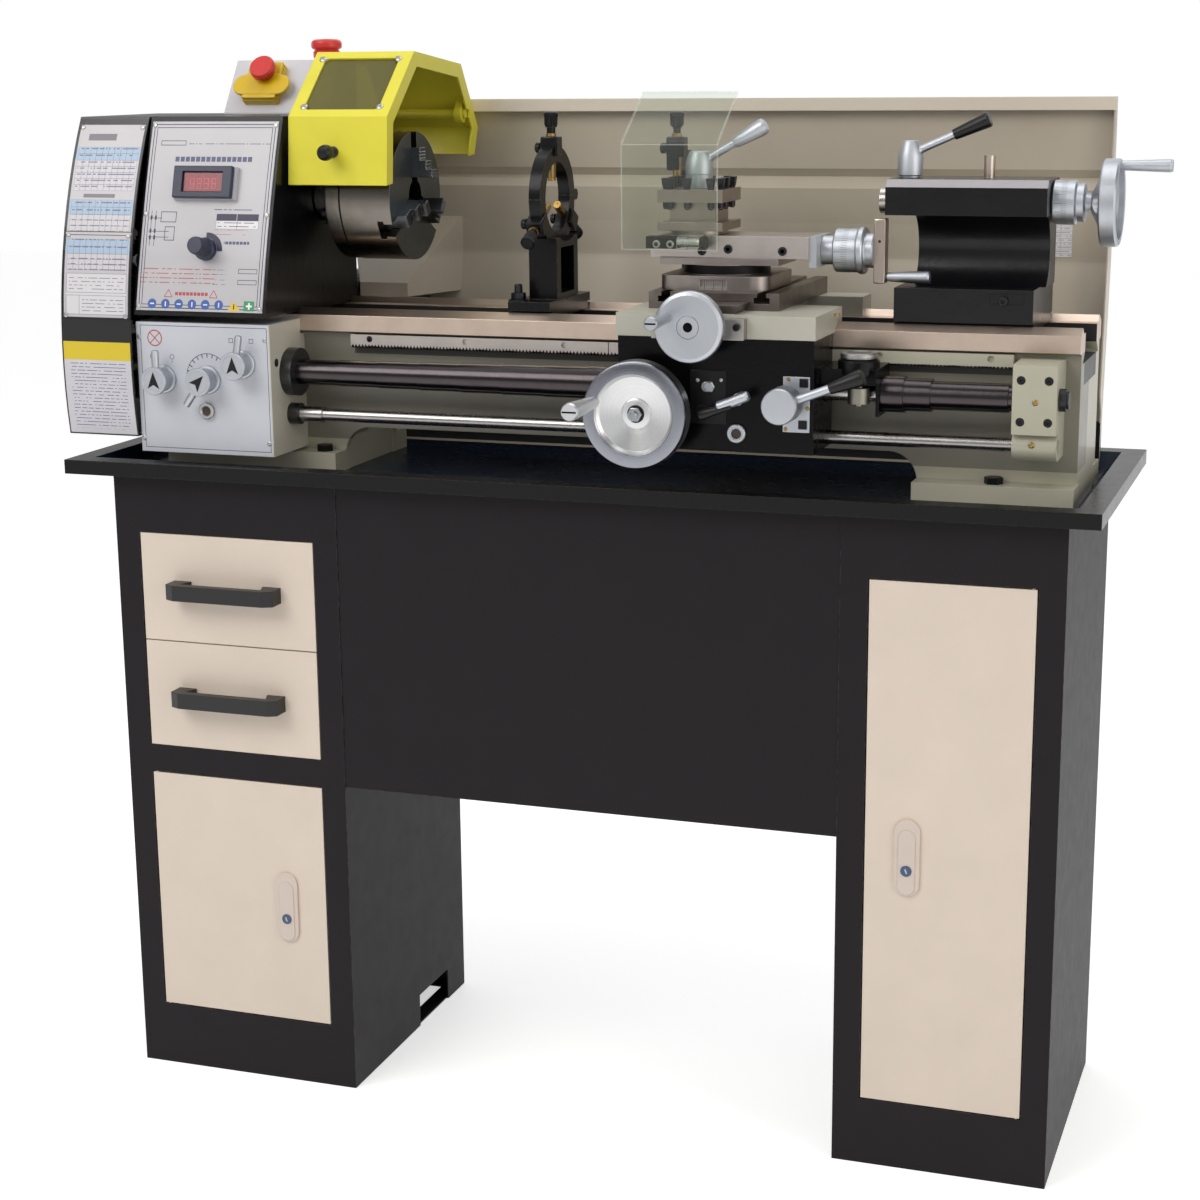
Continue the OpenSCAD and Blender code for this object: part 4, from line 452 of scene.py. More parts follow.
def bed_look(s):
    bolts = sum(s.away(x=x, y=y) < 12.5 for x in (-350, 501) for y in (-49, 141))
    bolts = bolts * s.inside(z=(FLOOR_Z + 26.2, FLOOR_Z + 45))
    look = s.over(grey_cast(s), plain_metal(s, "#2a2a2c", rough=0.4), bolts)
    # Painted shade: the bed's middle wall below the ways is darkened where it lies in shadow under the
    # leadscrew cover.
    web_shade = s.inside(z=(FLOOR_Z + 40, FLAT_Z - 21)) * (abs(s.y) < 40)
    look = s.over(look, paint(s, "#57524c", rough=0.4), web_shade * 0.6)
    # Painted shade: the bed's face behind the rack teeth is darkened so that the teeth stand out
    # against it.
    rack_gap_shade = s.inside(x=(-311, 519), z=(950, 961)) * (s.y < -32)
    look = s.over(look, paint(s, "#4a4640", rough=0.5), rack_gap_shade)
    look = s.over(look, ground(s, "#d6c2b2", "x", 0.33), s.z > FLAT_Z - 20.5)
    # Painted shade: the inner walls of the deep opening between the ways are painted near black.
    way_gap_shade = (abs(s.y - AXIS_Y) < 52.5) * (s.z < FLAT_Z - 0.5)
    return s.over(look, paint(s, "#1d1b1a", rough=0.5), way_gap_shade * (s.z > FLAT_Z - 60))

finish(["bed"], "bed_grey", bed_look, bevel=1.0, bump=0.06)

def saddle_look(s):
    block = (s.y < -137.3) * (s.z < FLAT_Z + 22)
    look = s.over(grey_cast(s, "#bdbbae"), ground(s, "#b5b0ab", "z", 0.36), block)
    return s.over(look, ground(s, "#857b76", "y", 0.34, 0.6), s.z > FLAT_Z + 24.3)

finish(["saddle"], "saddle_grey", saddle_look, bevel=1.2)
finish(["shaft_bracket"], "bracket_grey", grey_cast, bevel=1.0)

def splash_look(s):
    facing = s.node("SeparateXYZ", inputs={0: s.node("NewGeometry", out="Normal")}, out=1)
    inside = (s.z < FLOOR_Z + 62) * (s.y < 228) * (facing < 0)
    look = grey_cast(s, "#c4b9a8")
    # Painted reflection: above 1100 mm, large darker patches mottle the guard the way reflections do.
    cloud = ((s.noise(330, detail=2.0) - 0.44) * 3.2).clip() * 0.35 * (s.z > 1100)
    # Painted light: below the bend the paint is lightened to lift the shade that falls there.
    low = ((1062 - s.z) / 12).clip() * 0.6
    # Painted highlight: a lighter band runs along the top lip.
    for code, part in (("#a39c8a", cloud), ("#ded4c4", low), ("#ddd2c2", s.z > 1241.6)):
        look = s.over(look, Look(srgb(code), 0.36, 0.0, 0.2, 0.5), part)
    return s.over(look, paint(s, "#23242b", rough=0.35, coat=0.2), inside)

finish(["splash_guard"], "splash_grey", splash_look, bevel=1.0)

def rack_look(s):
    """Teeth along the lower edge are drawn as narrow dark notches of painted shade; a joint line parts
    the two lengths.
    """
    joint = abs(s.x - 31) < 0.5
    tooth_gap_shade = s.z < s.x.wrap(4.4) * -1.9 + 963.4
    # dark is the real joint line together with the painted shade of the tooth notches.
    dark = joint.most(tooth_gap_shade)
    look = s.over(ground(s, "#c3bab4", "x", 0.34), plain_metal(s, "#2a2828", rough=0.5), dark)
    return s.over(look, grey_cast(s), (s.x > 250) * (s.z > 961))

finish(["gear_rack"], "rack_steel", rack_look, bevel=0.3)

# %% [markdown]
# ## Black castings
# Headstock, apron, tailstock and steady rest are gloss black. The guard's hinge rod is part of
# the headstock's casting node, so it is painted like the guard it carries. The tailstock has a
# pale grey strip painted along its front chamfer, and the steady rest has bronze fingers.

# %% Black finishes
def headstock_look(s):
    return s.over(black_cast(s), paint(s, "#d9ce3a", rough=0.34, coat=0.25), s.x > -383.4)

finish(["headstock"], "machine_black", headstock_look, bump=0.12, bevel=1.5, shine=0.2)

def apron_look(s):
    black = paint(s, "#060608", rough=0.26, coat=0.05, peel=5.0, cloud=0.15, wear=0.15)
    return s.over(black, plain_metal(s, "#b9bcc0", rough=0.25), s.y < -136.3)

finish(["apron"], "apron_black", apron_look, bump=0.12, bevel=1.2, shine=0.12)

def tailstock_look(s):
    chamfer = s.inside(y=(-6, 5.2), z=(1160.2, 1168.9))
    look = s.over(black_cast(s), paint(s, "#a7a3a8", rough=0.4), chamfer)
    look = s.over(look, plain_metal(s, "#c2b3a8", rough=0.3), s.z > 1169.2)
    slot = outline(s, (487, 527), (1030, 1043), 1.4) * (s.y < -25)
    return s.over(look, Look(srgb("#030304"), 0.6), slot)

finish(["tailstock"], "tailstock_black", tailstock_look, bump=0.12, bevel=1.0, shine=0.3)

def steady_look(s):
    near = s.away(y=AXIS_Y, z=AXIS_Z)
    look = paint(s, "#08080a", rough=0.3, coat=0.05, peel=5.0, cloud=0.15, wear=0.5)
    return s.over(look, plain_metal(s, "#b08a4c", rough=0.34), near < 42.7)

finish(["steady_rest", "steady_top"], "steady_black", steady_look, bump=0.15, shine=0.2)

# %% [markdown]
# ## Control panel
# Two thin frame lines run round the plate, and a small outlined box, a row of dashes and a row of
# bars stand at its top. Below the display come a small gearbox diagram and a speed table, then
# the knob with its printed arc, two outlined boxes, red dashes and two red triangles, six blue
# discs, a yellow triangle and a green square. None of it spells anything.

# %% Control panel
INK = "#2d2b4b"

def panel_look(s):
    look = paint(s, PANEL, rough=0.36, coat=0.2, peel=2.5, cloud=0.02)
    x, z = (-563, -388), (1008, 1237)
    look = ink(s, look, INK, *(outline(s, (x[0] + d, x[1] - d), (z[0] + d, z[1] - d), w)
                               for d, w in ((3, 1.1), (7, 0.9))))
    look = ink(s, look, INK, outline(s, (-548, -513), (1208, 1214), 0.8),
               dashes(s, (-509, -392), (1209, 1213), 2.2, 4), line(s, (-551, 1086), (-551, 1129)),
               line(s, (-545, 1086), (-545, 1129)), line(s, (-554, 1120), (-536, 1120)),
               line(s, (-554, 1104), (-525, 1104)), line(s, (-554, 1097), (-525, 1097)),
               *(line(s, (x, z), (x, z + 5), 2.6) for x in (-551, -545) for z in (1094, 1102, 1118)),
               outline(s, (-538, -516), (1115, 1128), 0.9), outline(s, (-531, -517), (1093, 1110), 0.9),
               outline(s, (-424, -398), (1054.6, 1060.4)), outline(s, (-424, -398), (1041.4, 1047.2)))
    look = ink(s, look, "#2c2b45", s.inside(x=(-460, -402), z=(1118, 1126)) * (
        abs(s.x + 431.8) > 0.4))
    bars = s.inside(x=(-527, -418), z=(1188.5, 1194.5)) * ((s.x / 7.2).math("FRACT") < 0.8)
    look = ink(s, look, "#4e5478", bars, dashes(s, (-464, -412), (1129, 1135), 2.2, 6),
               *(dashes(s, (-459, -441), (z, z + 6), 2.2, 6) for z in (1053, 1041)),
               s.inside(x=(-447, -412), z=(1089.5, 1093)) * ((s.x / 5).math("FRACT") < 0.8))
    look = ink(s, look, "#b5484e", dashes(s, (-561, -455), (1041, 1062), 2.4, 5.5),
               dashes(s, (-464, -416), (1101, 1107), 2.2, 6),
               s.inside(x=(-510, -464), z=(1027, 1031)) * ((s.x / 5.2).math("FRACT") < 0.8),
               *(line(s, a, b, 1.0) for x in (-519, -456) for a, b in (
                   ((x - 5.5, 1025), (x + 5.5, 1025)), ((x - 5.5, 1025), (x, 1034)),
                   ((x + 5.5, 1025), (x, 1034)))))
    look = ink(s, look, "#e8e6ea", s.inside(x=(-460, -402), z=(1108, 1118)))
    look = ink(s, look, INK, grid(s, (-460.2, -401.8), (1108, 1118), 2, 1),
               dashes(s, (-458, -405), (1109, 1117), 3.4, 4.4))
    away = s.away(x=-470, z=1082)
    arc = (away > 14.5) * (away < 21.5) * (s.x > -472) * (s.z > 1081)
    look = ink(s, look, "#232744", arc)
    discs = sum((s.away(x=x, z=1016.4) < 6) for x in (-541, -522.3, -503.6, -485.1, -466.6, -447.9))
    look = ink(s, look, "#3b5fa8", discs.least(1.0) * (s.z < 1030))
    look = ink(s, look, "#e8edf8", sum(
        s.inside(x=(x - 2.8, x + 2.8), z=(1015.7, 1017.3)) for x in (-541, -503.6, -466.6)),
        sum(s.inside(x=(x - 0.8, x + 0.8), z=(1013.4, 1019.4)) for x in (-522.3, -485.1, -447.9)))
    tip = (s.z > 1010) * (abs(s.x + 427) < (1021.7 - s.z) * 0.77)
    look = ink(s, look, "#e4bf2c", tip)
    look = ink(s, look, "#2b2a2a", (s.z > 1011.6) * (abs(s.x + 427) < 0.8) * (s.z < 1018))
    look = ink(s, look, "#3f9463", s.inside(x=(-413.4, -399), z=(1010, 1022)))
    return ink(s, look, "#f2f4f2", s.inside(x=(-407.3, -405.1), z=(1012, 1020)),
               s.inside(x=(-410.3, -402.1), z=(1014.9, 1017.1)))

finish(["control_panel"], "panel_grey", panel_look, bump=0.04, bevel=0.6)

# %% [markdown]
# ## Gear cover
# The cover carries two printed plates with pale-blue bands and ruled tables, a black and a
# yellow band, and a plain pale label. Its top edge is lighter, where the lid is folded.

# %% Gear cover
def cover_look(s):
    look = black_cast(s, 0.15)
    inner, sides = (-661, -575), (-665, -571.5)
    front = s.inside(x=sides, y=(-200, -58), z=(997, 1234))
    plate = paint(s, "#c9c5c8", rough=0.4, coat=0.15, peel=2.5, cloud=0.03)
    plate = ink(s, plate, "#adc1d6", *(s.inside(z=band) for band in (
        (1190, 1206), (1124, 1142), (1076, 1094))))
    for z, rows in (((1153, 1190), 5), ((1103.5, 1124), 3), ((1056, 1076), 3), ((1190, 1206), 2),
                    ((1124, 1142), 2), ((1076, 1094), 2)):
        plate = ink(s, plate, "#d3cfd2", s.inside(x=inner, z=z)) if rows > 2 else plate
        plate = ink(s, plate, "#6f7692", grid(s, inner, z, 10, rows, 0.45),
                    dashes(s, (inner[0] + 2, inner[1] - 2), z, 2.2, (z[1] - z[0]) / rows))
    plate = ink(s, plate, "#dedcde", s.inside(x=inner, z=(1001, 1052)))
    plate = ink(s, plate, "#6f7692", outline(s, inner, (1028, 1052), 0.5),
                outline(s, inner, (1001, 1025), 0.5), line(s, (-642, 1001), (-642, 1025), 0.5),
                dashes(s, (-657, -579), (1031, 1049), 2.6, 4.5),
                dashes(s, (-638, -579), (1004, 1022), 2.6, 4.5))
    plate = ink(s, plate, "#3a3942", outline(s, sides, (1102.5, 1234), 0.9),
                outline(s, sides, (997, 1099.5), 0.9))
    plate = ink(s, plate, "#7d7c84", s.inside(x=(-650, -610), z=(1214, 1222)),
                s.inside(x=(-645, -600), z=(1144.5, 1149)))
    look = s.over(look, plate, front)
    low = s.inside(x=(-666, -570), y=(-235, -120))
    look = s.over(look, Look(srgb("#1b1a1c"), 0.35, 0.0, 0.1), low * s.inside(z=(967, 995)))
    look = s.over(look, Look(srgb("#e0c630"), 0.4, 0.0, 0.1), low * s.inside(z=(944, 967)))
    label = paint(s, "#d3d1d8", rough=0.45, cloud=0.05)
    label = ink(s, label, "#4c5080", dashes(s, (-657, -578), (856, 940), 2.4, 4.4))
    look = s.over(look, label, low * s.inside(z=(850, 944)))
    return s.over(look, paint(s, "#3d3b3f", rough=0.4), s.z > 1240)

finish(["gear_cover"], "cover_black", cover_look, bump=0.08, bevel=1.5)

# %% [markdown]
# ## Feed gearbox
# A thin frame line, an arc scale over the middle knob, a struck-out circle and a few small
# plain symbols are printed on the pale blue-grey front.

# %% Feed gearbox
def gearbox_look(s):
    look = paint(s, "#cdd0d8", rough=0.38, coat=0.15, peel=2.5, cloud=0.03, wear=0.1)
    front = s.y < -128
    arc = s.away(x=-468.6, z=926)
    turn = (s.z - 926).math("ARCTAN2", s.x + 468.6)
    ticks = turn.wrap(math.radians(15)) < 0.025
    marks = [outline(s, (-561.5, -384.5), (834.3, 989.2), 0.8),
             (arc > 29) * (arc < 29.9) * (s.z > 928), (arc > 24.5) * (arc < 29.5) * ticks * (s.z > 928),
             ring(s, -545.8, 950, 3.2), ring(s, -518, 950, 3.2),
             outline(s, (-437.4, -431.4), (970, 975.6)), outline(s, (-409.6, -403.6), (970, 975.6)),
             line(s, (-545.8, 943), (-545.8, 946)), line(s, (-518, 943), (-518, 946))]
    look = ink(s, look, "#4b4a5c", *(mark * front for mark in marks))
    look = ink(s, look, "#b8483f", *(mark * front for mark in (
        ring(s, -541.2, 973.1, 10.4, 1.5), line(s, (-548, 966.3), (-534.4, 979.9), 1.2),
        line(s, (-548, 979.9), (-534.4, 966.3), 1.2))))
    look = s.over(look, paint(s, "#c6c2b4", rough=0.36, coat=0.2, peel=2.5), s.x > -382.5)
    # Painted shade: a dark disc on the side stands for a hole that the geometry does not have.
    look = s.over(look, Look(srgb("#151517"), 0.6), s.away(y=-113, z=945) < 5.3)
    return s.over(look, paint(s, "#1a1a1c", rough=0.3, coat=0.3), s.x > -380.8)

finish(["feed_gearbox"], "gearbox_grey", gearbox_look, bump=0.06, bevel=1.2)

# %% [markdown]
# ## Switch box
# The grey box tilts up to the operator with a yellow housing on it; how far a point stands
# proud of the box is a rotated coordinate.

# %% Switch box
def switch_look(s):
    turn = math.atan2(66, 45)
    proud = (s.z - 1245) * math.cos(turn) - (s.y - 59) * math.sin(turn)
    look = paint(s, "#cfcdd2", rough=0.38, coat=0.15)
    look = s.over(look, plastic(s, "#e6c01c", rough=0.35), proud > 0.2)
    return s.over(look, plastic(s, "#cf3a35", rough=0.3), proud > 16.2)

finish(["switch_box", "switch_flap"], "switch_grey", switch_look, bevel=1.0)
finish(["emergency_button"], "red_plastic", lambda s: plastic(s, "#d2322c", 0.3), bevel=1.6)
finish(["speed_knob"], "black_plastic", lambda s: plastic(s, "#1c1c20", 0.4), bevel=1.0)

# %% [markdown]
# ## Chuck guard
# Bright yellow enamel on bent sheet, with a tinted window that lets the light through.

# %% Chuck guard
def guard_look(s):
    look = paint(s, "#e6dc3e", rough=0.34, coat=0.25, peel=3.0, cloud=0.03)
    grime = ((s.noise(60, detail=4.0) - 0.5) * 2.5).clip() * 0.25
    return s.over(look, Look(srgb("#b5aa38"), 0.45, 0.0, 0.1, 0.5), grime)

finish(["chuck_guard"], "guard_yellow", guard_look, bump=0.05, bevel=1.5)

def clear(name, code, opacity, rough=0.06, rim=0.0, haze=0.06):
    """Thin clear sheet: a see-through part tinted by its own colour, and a glossy part."""
    s = Sheet(name)
    smear = s.noise(40, detail=4.0)
    through = s.node("BsdfTransparent", inputs={"Color": srgb(code)})
    gloss = s.node("BsdfPrincipled", inputs={
        "Base Color": srgb(code), "Roughness": smear * 0.1 + rough, "Coat Weight": 0.5})
    part = smear * haze + opacity
    if rim:
        part = (part + s.edge(rim) * 0.5).clip()
    mixed = s.node("MixShader", inputs={0: part, 1: through, 2: gloss})
    s.node_out(mixed)
    return s.material

give("guard_window", clear("window_tint", "#8f8946", 0.4))

# %% [markdown]
# ## Steel and aluminium
# Slides are ground steel; wheels, dials and levers are satin aluminium, so they show soft
# light instead of a mirror image. The chuck is darker, with streaks round it.

# %% Bright metal finishes
SATIN = "#b9bdc3"
finish(["spindle"], "spindle_steel", lambda s: turned(s, "x", SPINDLE, "#6d6b69"))

def chuck_look(s):
    look = turned(s, "x", SPINDLE, "#77716a", rough=0.22, pitch=0.5, stain=0.6)
    face = turned(s, "x", SPINDLE, "#62696b", rough=0.3, pitch=0.8, stain=0.5)
    look = s.over(look, face, s.x > -257.4)
    groove = s.inside(x=(-327.3, -324.7))
    return s.over(look, plain_metal(s, "#1c1c1c", rough=0.5), groove)

finish(["chuck_body"], "chuck_steel", chuck_look, bevel=1.2)
finish(["quill"], "quill_steel", lambda s: turned(s, "x", SPINDLE, "#b9b2ac"))
finish(["leadscrew", "feed_rod"], "shaft_steel", lambda s: s.over(
    turned(s, "x", LEADSCREW, "#a8a5a2", pitch=1.2), plastic(s, "#17171a", 0.4), s.x > 576))
finish(["idler_gear", "motor_pulley"], "gear_steel", lambda s: plain_metal(s, "#8b8986"))
finish(["drive_belt"], "belt_rubber", lambda s: plastic(s, "#141414", 0.6))

def motor_look(s):
    """Cooling ribs along the motor are a height that follows the angle about its axis, with a dark line
    of painted shade along the bottom of each groove.
    """
    look = paint(s, "#4b4f52", 0.4)
    angle = (s.z - motor_z).math("ARCTAN2", s.y - motor_y)
    ribs = (angle.wrap(math.tau / 40) * 30).clip() * 6.0
    look.height = ribs + look.height
    # Painted shade: dark lines at the groove bottoms between the ribs.
    return s.over(look, Look(srgb("#26282a"), 0.5, 0.0, 0.0, 0.0), angle.wrap(math.tau / 40) < 0.02)

motor_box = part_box("motor")
motor_y, motor_z = ((motor_box[0][i] + motor_box[1][i]) / 2 / MM for i in (1, 2))
finish(["motor"], "motor_paint", motor_look, bump=0.6)

def slide_look(s):
    look = ground(s, "#c9c0ba", "x", 0.34, 0.35)
    look = s.over(look, plain_metal(s, "#26221f", rough=0.4), s.y < -39.2)
    rod = s.inside(x=(121.2, 148.8), y=(-60, -46), z=(1090, 1103))
    look = s.over(look, plain_metal(s, "#c8bfb6", rough=0.25), rod)
    return s.over(look, paint(s, "#aeb2b8", rough=0.34), s.x > 276.1)

finish(["top_slide"], "slide_steel", slide_look)

def base_look(s):
    """Swivel base: dark ring, and a pale protractor scale in the front recess."""
    look = ground(s, "#a39a95", "x", 0.34, 0.5)
    look = s.over(look, plain_metal(s, "#252424", rough=0.45), s.inside(z=(1059.3, 1069.9)))
    scale = s.inside(x=(152, 186), y=(-70, -60), z=(1043, 1054))
    look = ink(s, look, "#8f8a86", scale)
    tick = (s.x.wrap(2.2, 169) < 0.25) * (s.z > 1048)
    return ink(s, look, "#2a2828", scale * tick, scale * (s.x.wrap(11, 169) < 0.35))

finish(["compound_base"], "swivel_steel", base_look)
finish(["cross_slide"], "cross_steel", lambda s: ground(s, "#857c77", "x", 0.34, 0.9))

def turret_look(s):
    look = ground(s, "#ab9d93", "x", 0.34, 0.4)
    core = s.inside(x=(102.5, 161.5), y=(-29.5, 29.5))
    black = (s.z > 1157.2).most(s.inside(z=(1135.5, 1141.9)) * (1.0 - core))
    return s.over(look, plain_metal(s, "#222224", rough=0.35), black)

finish(["tool_turret"], "turret_steel", turret_look, bevel=0.7)
finish(["thread_dial"], "dial_metal", lambda s: plain_metal(s, "#8d8a80", rough=0.4))
give("tool_shield", clear("clear_sheet", "#f3f6f2", 0.02, rim=2.0, haze=0.03))

# %% [markdown]
# ## Shapes in millimetres
# Most workshop parts are turned, so a profile of radii and heights is spun about Z; the rest are
# rounded boxes and flat outlines raised into plates. Each shape is made lying at the origin and
# is then stood toward a direction at its place, and several shapes joined make one piece.

# %% Shapes in millimetres
def turned_shape(profile, steps=40):
    """Spins (radius, height) points about Z; an open end gets a flat face to the axis."""
    if profile[0] != profile[-1]:
        profile = [(0, profile[0][1])] * (profile[0][0] > 0) + profile + (
            [(0, profile[-1][1])] * (profile[-1][0] > 0))
    bm = bmesh.new()
    points = [bm.verts.new((radius, 0, height)) for radius, height in profile]
    edges = [bm.edges.new(pair) for pair in zip(points, points[1:])]
    bmesh.ops.spin(bm, geom=points + edges, cent=(0, 0, 0), axis=(0, 0, 1), angle=math.tau,
                   steps=steps, use_merge=True)
    bmesh.ops.remove_doubles(bm, verts=bm.verts, dist=0.001)
    return bm

def bevelled(bm, by, segments=2, lean=40):
    """Rounds every edge whose faces lean more than an angle from each other."""
    bmesh.ops.recalc_face_normals(bm, faces=bm.faces)
    sharp = [e for e in bm.edges if e.is_manifold and e.calc_face_angle(0) > math.radians(lean)]
    bmesh.ops.bevel(bm, geom=sharp, offset=by, segments=segments, profile=0.5, affect="EDGES",
                    material=-1, clamp_overlap=True)
    return bm

def rounded_box(x, y, z, by=1.0, segments=2):
    """A box from (low, high) pairs, with rounded edges."""
    bm = bmesh.new()
    bmesh.ops.create_cube(bm, size=1)
    sides = (x, y, z)
    bmesh.ops.scale(bm, vec=[high - low for low, high in sides], verts=bm.verts)
    bmesh.ops.translate(bm, vec=[(low + high) / 2 for low, high in sides], verts=bm.verts)
    return bevelled(bm, by, segments)

def plate_shape(points, thick, by=0.0, segments=2):
    """An outline in XY raised along Z into a plate."""
    bm = bmesh.new()
    face = bm.faces.new([bm.verts.new((x, y, 0)) for x, y in points])
    raised = bmesh.ops.extrude_face_region(bm, geom=[face])["geom"]
    lifted = [part for part in raised if isinstance(part, bmesh.types.BMVert)]
    bmesh.ops.translate(bm, vec=(0, 0, thick), verts=lifted)
    return bevelled(bm, by, segments) if by else bm

def ring_points(radius, count, start=0.0):
    turns = [math.radians(start) + math.tau * i / count for i in range(count)]
    return [(radius * math.cos(a), radius * math.sin(a)) for a in turns]

def slot_points(width, height, count=12):
    """A stadium outline: two half circles joined by straight sides."""
    radius, rise = width / 2, (height - width) / 2
    turns = [math.pi * i / count for i in range(count + 1)]
    top = [(radius * math.cos(a), rise + radius * math.sin(a)) for a in turns]
    return top + [(-x, -y) for x, y in top]

def ribbed(bm, low, high, count, depth):
    """Pulls every other column of a spun shape inwards between two heights."""
    columns = math.tau / count
    pulled = [v for v in bm.verts if low < v.co.z < high
              and round(math.atan2(v.co.y, v.co.x) / columns) % 2]
    for vert in pulled:
        reach = math.hypot(vert.co.x, vert.co.y)
        bmesh.ops.scale(bm, vec=(1 - depth / reach, 1 - depth / reach, 1), verts=[vert])
    return bm

def cap_screw(radius, height):
    """A cylinder head with a chamfered rim and a six-sided socket."""
    bm = bmesh.new()
    rim = bmesh.ops.create_circle(bm, segments=24, radius=radius * 0.88)["verts"]
    socket = bmesh.ops.create_circle(bm, segments=6, radius=radius * 0.52)["verts"]
    rings = [[e for e in bm.edges if e.verts[0] in ring] for ring in (rim, socket)]
    bmesh.ops.bridge_loops(bm, edges=rings[0] + rings[1])
    steps = ((rings[1], 1.0, -radius * 0.55), (rings[0], 1 / 0.88, -radius * 0.12))
    lowest = []
    for edges, grow, drop in steps:
        made = bmesh.ops.extrude_edge_only(bm, edges=edges)["geom"]
        verts = [part for part in made if isinstance(part, bmesh.types.BMVert)]
        bmesh.ops.scale(bm, vec=(grow, grow, 1), verts=verts)
        bmesh.ops.translate(bm, vec=(0, 0, drop), verts=verts)
        lowest.append([part for part in made if isinstance(part, bmesh.types.BMEdge)])
    bmesh.ops.edgeloop_fill(bm, edges=[e for e in lowest[0] if e.is_boundary])
    made = bmesh.ops.extrude_edge_only(bm, edges=[e for e in lowest[1] if e.is_boundary])["geom"]
    verts = [part for part in made if isinstance(part, bmesh.types.BMVert)]
    bmesh.ops.translate(bm, vec=(0, 0, -height), verts=verts)
    bmesh.ops.edgeloop_fill(bm, edges=[e for e in bm.edges if e.is_boundary])
    bmesh.ops.translate(bm, vec=(0, 0, height + radius * 0.12), verts=bm.verts)
    return bm

def dome_screw(radius):
    """A low domed head with a small recess."""
    return turned_shape([(0, 0.28 * radius), (0.3 * radius, 0.42 * radius),
                         (0.62 * radius, 0.38 * radius), (0.9 * radius, 0.2 * radius),
                         (radius, -0.1 * radius)], 20)

def surface(node, x, z, start=-400.0, toward=(0, 1, 0)):
    """Where a line along Y from y = start meets a CAD node, and the outward normal there."""
    mesh = NODES[node].data
    if node not in TREES:
        TREES[node] = BVHTree.FromPolygons([v.co for v in mesh.vertices],
                                           [p.vertices for p in mesh.polygons])
    place, normal, _, _ = TREES[node].ray_cast(Vector((x, start, z)) * MM, Vector(toward))
    normal = normal if normal.dot(Vector(toward)) < 0 else -normal
    return tuple(place / MM), tuple(normal)

TREES = {}

class Build:
    """Shapes in mm that together make one piece."""
    def __init__(self):
        self.bm = bmesh.new()

    def add(self, shape, place=(0, 0, 0), toward=(0, 0, 1), turn=0.0):
        """Stands a shape's Z toward a direction at a place, turned about its own Z first."""
        aim = Vector((0, 0, 1)).rotation_difference(Vector(toward)).to_matrix().to_4x4()
        spin = Matrix.Rotation(math.radians(turn), 4, "Z")
        return self.put(shape, Matrix.Translation(place) @ aim @ spin)

    def put(self, shape, matrix):
        shape.transform(matrix)
        mesh = bpy.data.meshes.new("shape")
        shape.to_mesh(mesh)
        shape.free()
        self.bm.from_mesh(mesh)
        bpy.data.meshes.remove(mesh)
        return self

    def bar(self, a, b, profile, steps=24):
        """A turned bar from a to b; profile is (radius, share of the length)."""
        line = Vector(b) - Vector(a)
        points = [(radius, share * line.length) for radius, share in profile]
        return self.add(turned_shape(points, steps), a, line)

    def on(self, node, spots, make, **ray):
        """Seats a small shape on a CAD node at each (x, z), on its front unless a ray is given."""
        for x, z in spots:
            place, normal = surface(node, x, z, **ray)
            self.add(make(), place, normal)
        return self

    def made(self, name, body, slot, material, replaces=(), smooth=22):
        bmesh.ops.recalc_face_normals(self.bm, faces=self.bm.faces)
        bmesh.ops.scale(self.bm, vec=(MM, MM, MM), verts=self.bm.verts)
        mesh = bpy.data.meshes.new(name)
        self.bm.to_mesh(mesh)
        self.bm.free()
        for face in mesh.polygons:
            face.use_smooth = True
        mesh.set_sharp_from_angle(angle=math.radians(smooth))
        mesh.materials.append(material)
        piece = bpy.data.objects.new(name, mesh)
        bpy.context.collection.objects.link(piece)
        if isinstance(body, str):
            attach(piece, body)
        else:
            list(body)
            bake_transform(piece)
        if replaces:
            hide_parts(*replaces)
        print("piece", name, len(mesh.polygons), "faces")
        return piece

def stuff(name, make, **kind):
    """A material for new pieces."""
    sheet = Sheet(name)
    return sheet.done(make(sheet), **kind)

OPERATOR, RIGHT, LEFT, UP = (0, -1, 0), (1, 0, 0), (-1, 0, 0), (0, 0, 1)
BLACK_OXIDE = stuff("black_oxide", lambda s: plain_metal(s, "#37363a", 0.42, stain=0.4),
                    bevel=0.2)
BRIGHT_SCREW = stuff("bright_screw", lambda s: plain_metal(s, "#b4b2b0", 0.3), bevel=0.2)
BRASS = stuff("brass", lambda s: plain_metal(s, "#9c8254", 0.36), bevel=0.2)
CHROME = stuff("chrome", lambda s: plain_metal(s, "#9da0a5", 0.16, stain=0.1), bevel=0.4)
KNOB_BLACK = stuff("knob_black", lambda s: plastic(s, "#0b0b0d", 0.34), bevel=0.5, shine=0.35)
print("shape tools ready")

# %% [markdown]
# ## Screws, display and knobs on the headstock
# A small screw looks right when it sits square on its surface, so a ray is cast at the casting
# from the front and the screw takes the place and the normal that it meets. The display is a
# dark sloped frame round a sunken red window.

# %% Display and speed knob
SATIN_METAL = stuff("satin_metal", lambda s: plain_metal(s, SATIN, 0.46, stain=0.15), bevel=0.4)
NAVY = stuff("navy_frame", lambda s: plastic(s, "#232a42", 0.36), bevel=0.5)

def display_look(s):
    """Four faint eights of seven bars each behind red glass."""
    parts = [part for x in (-493, -483, -473, -463) for part in (
        outline(s, (x - 3.2, x + 3.2), (1156.5, 1169.5), 1.2),
        line(s, (x - 3, 1163), (x + 3, 1163), 1.2))]
    return ink(s, plastic(s, "#8c2531", 0.3), "#c4515c", *parts)

RED_GLASS = stuff("red_glass", display_look, bevel=0.3, shine=0.7)
# Painted shade: sockets and screwdriver slots are near-black shapes standing for the shade inside a
# recess.
HOLE_SHADE = stuff("socket_shade", lambda s: plain_metal(s, "#17171a", 0.5), bevel=0)

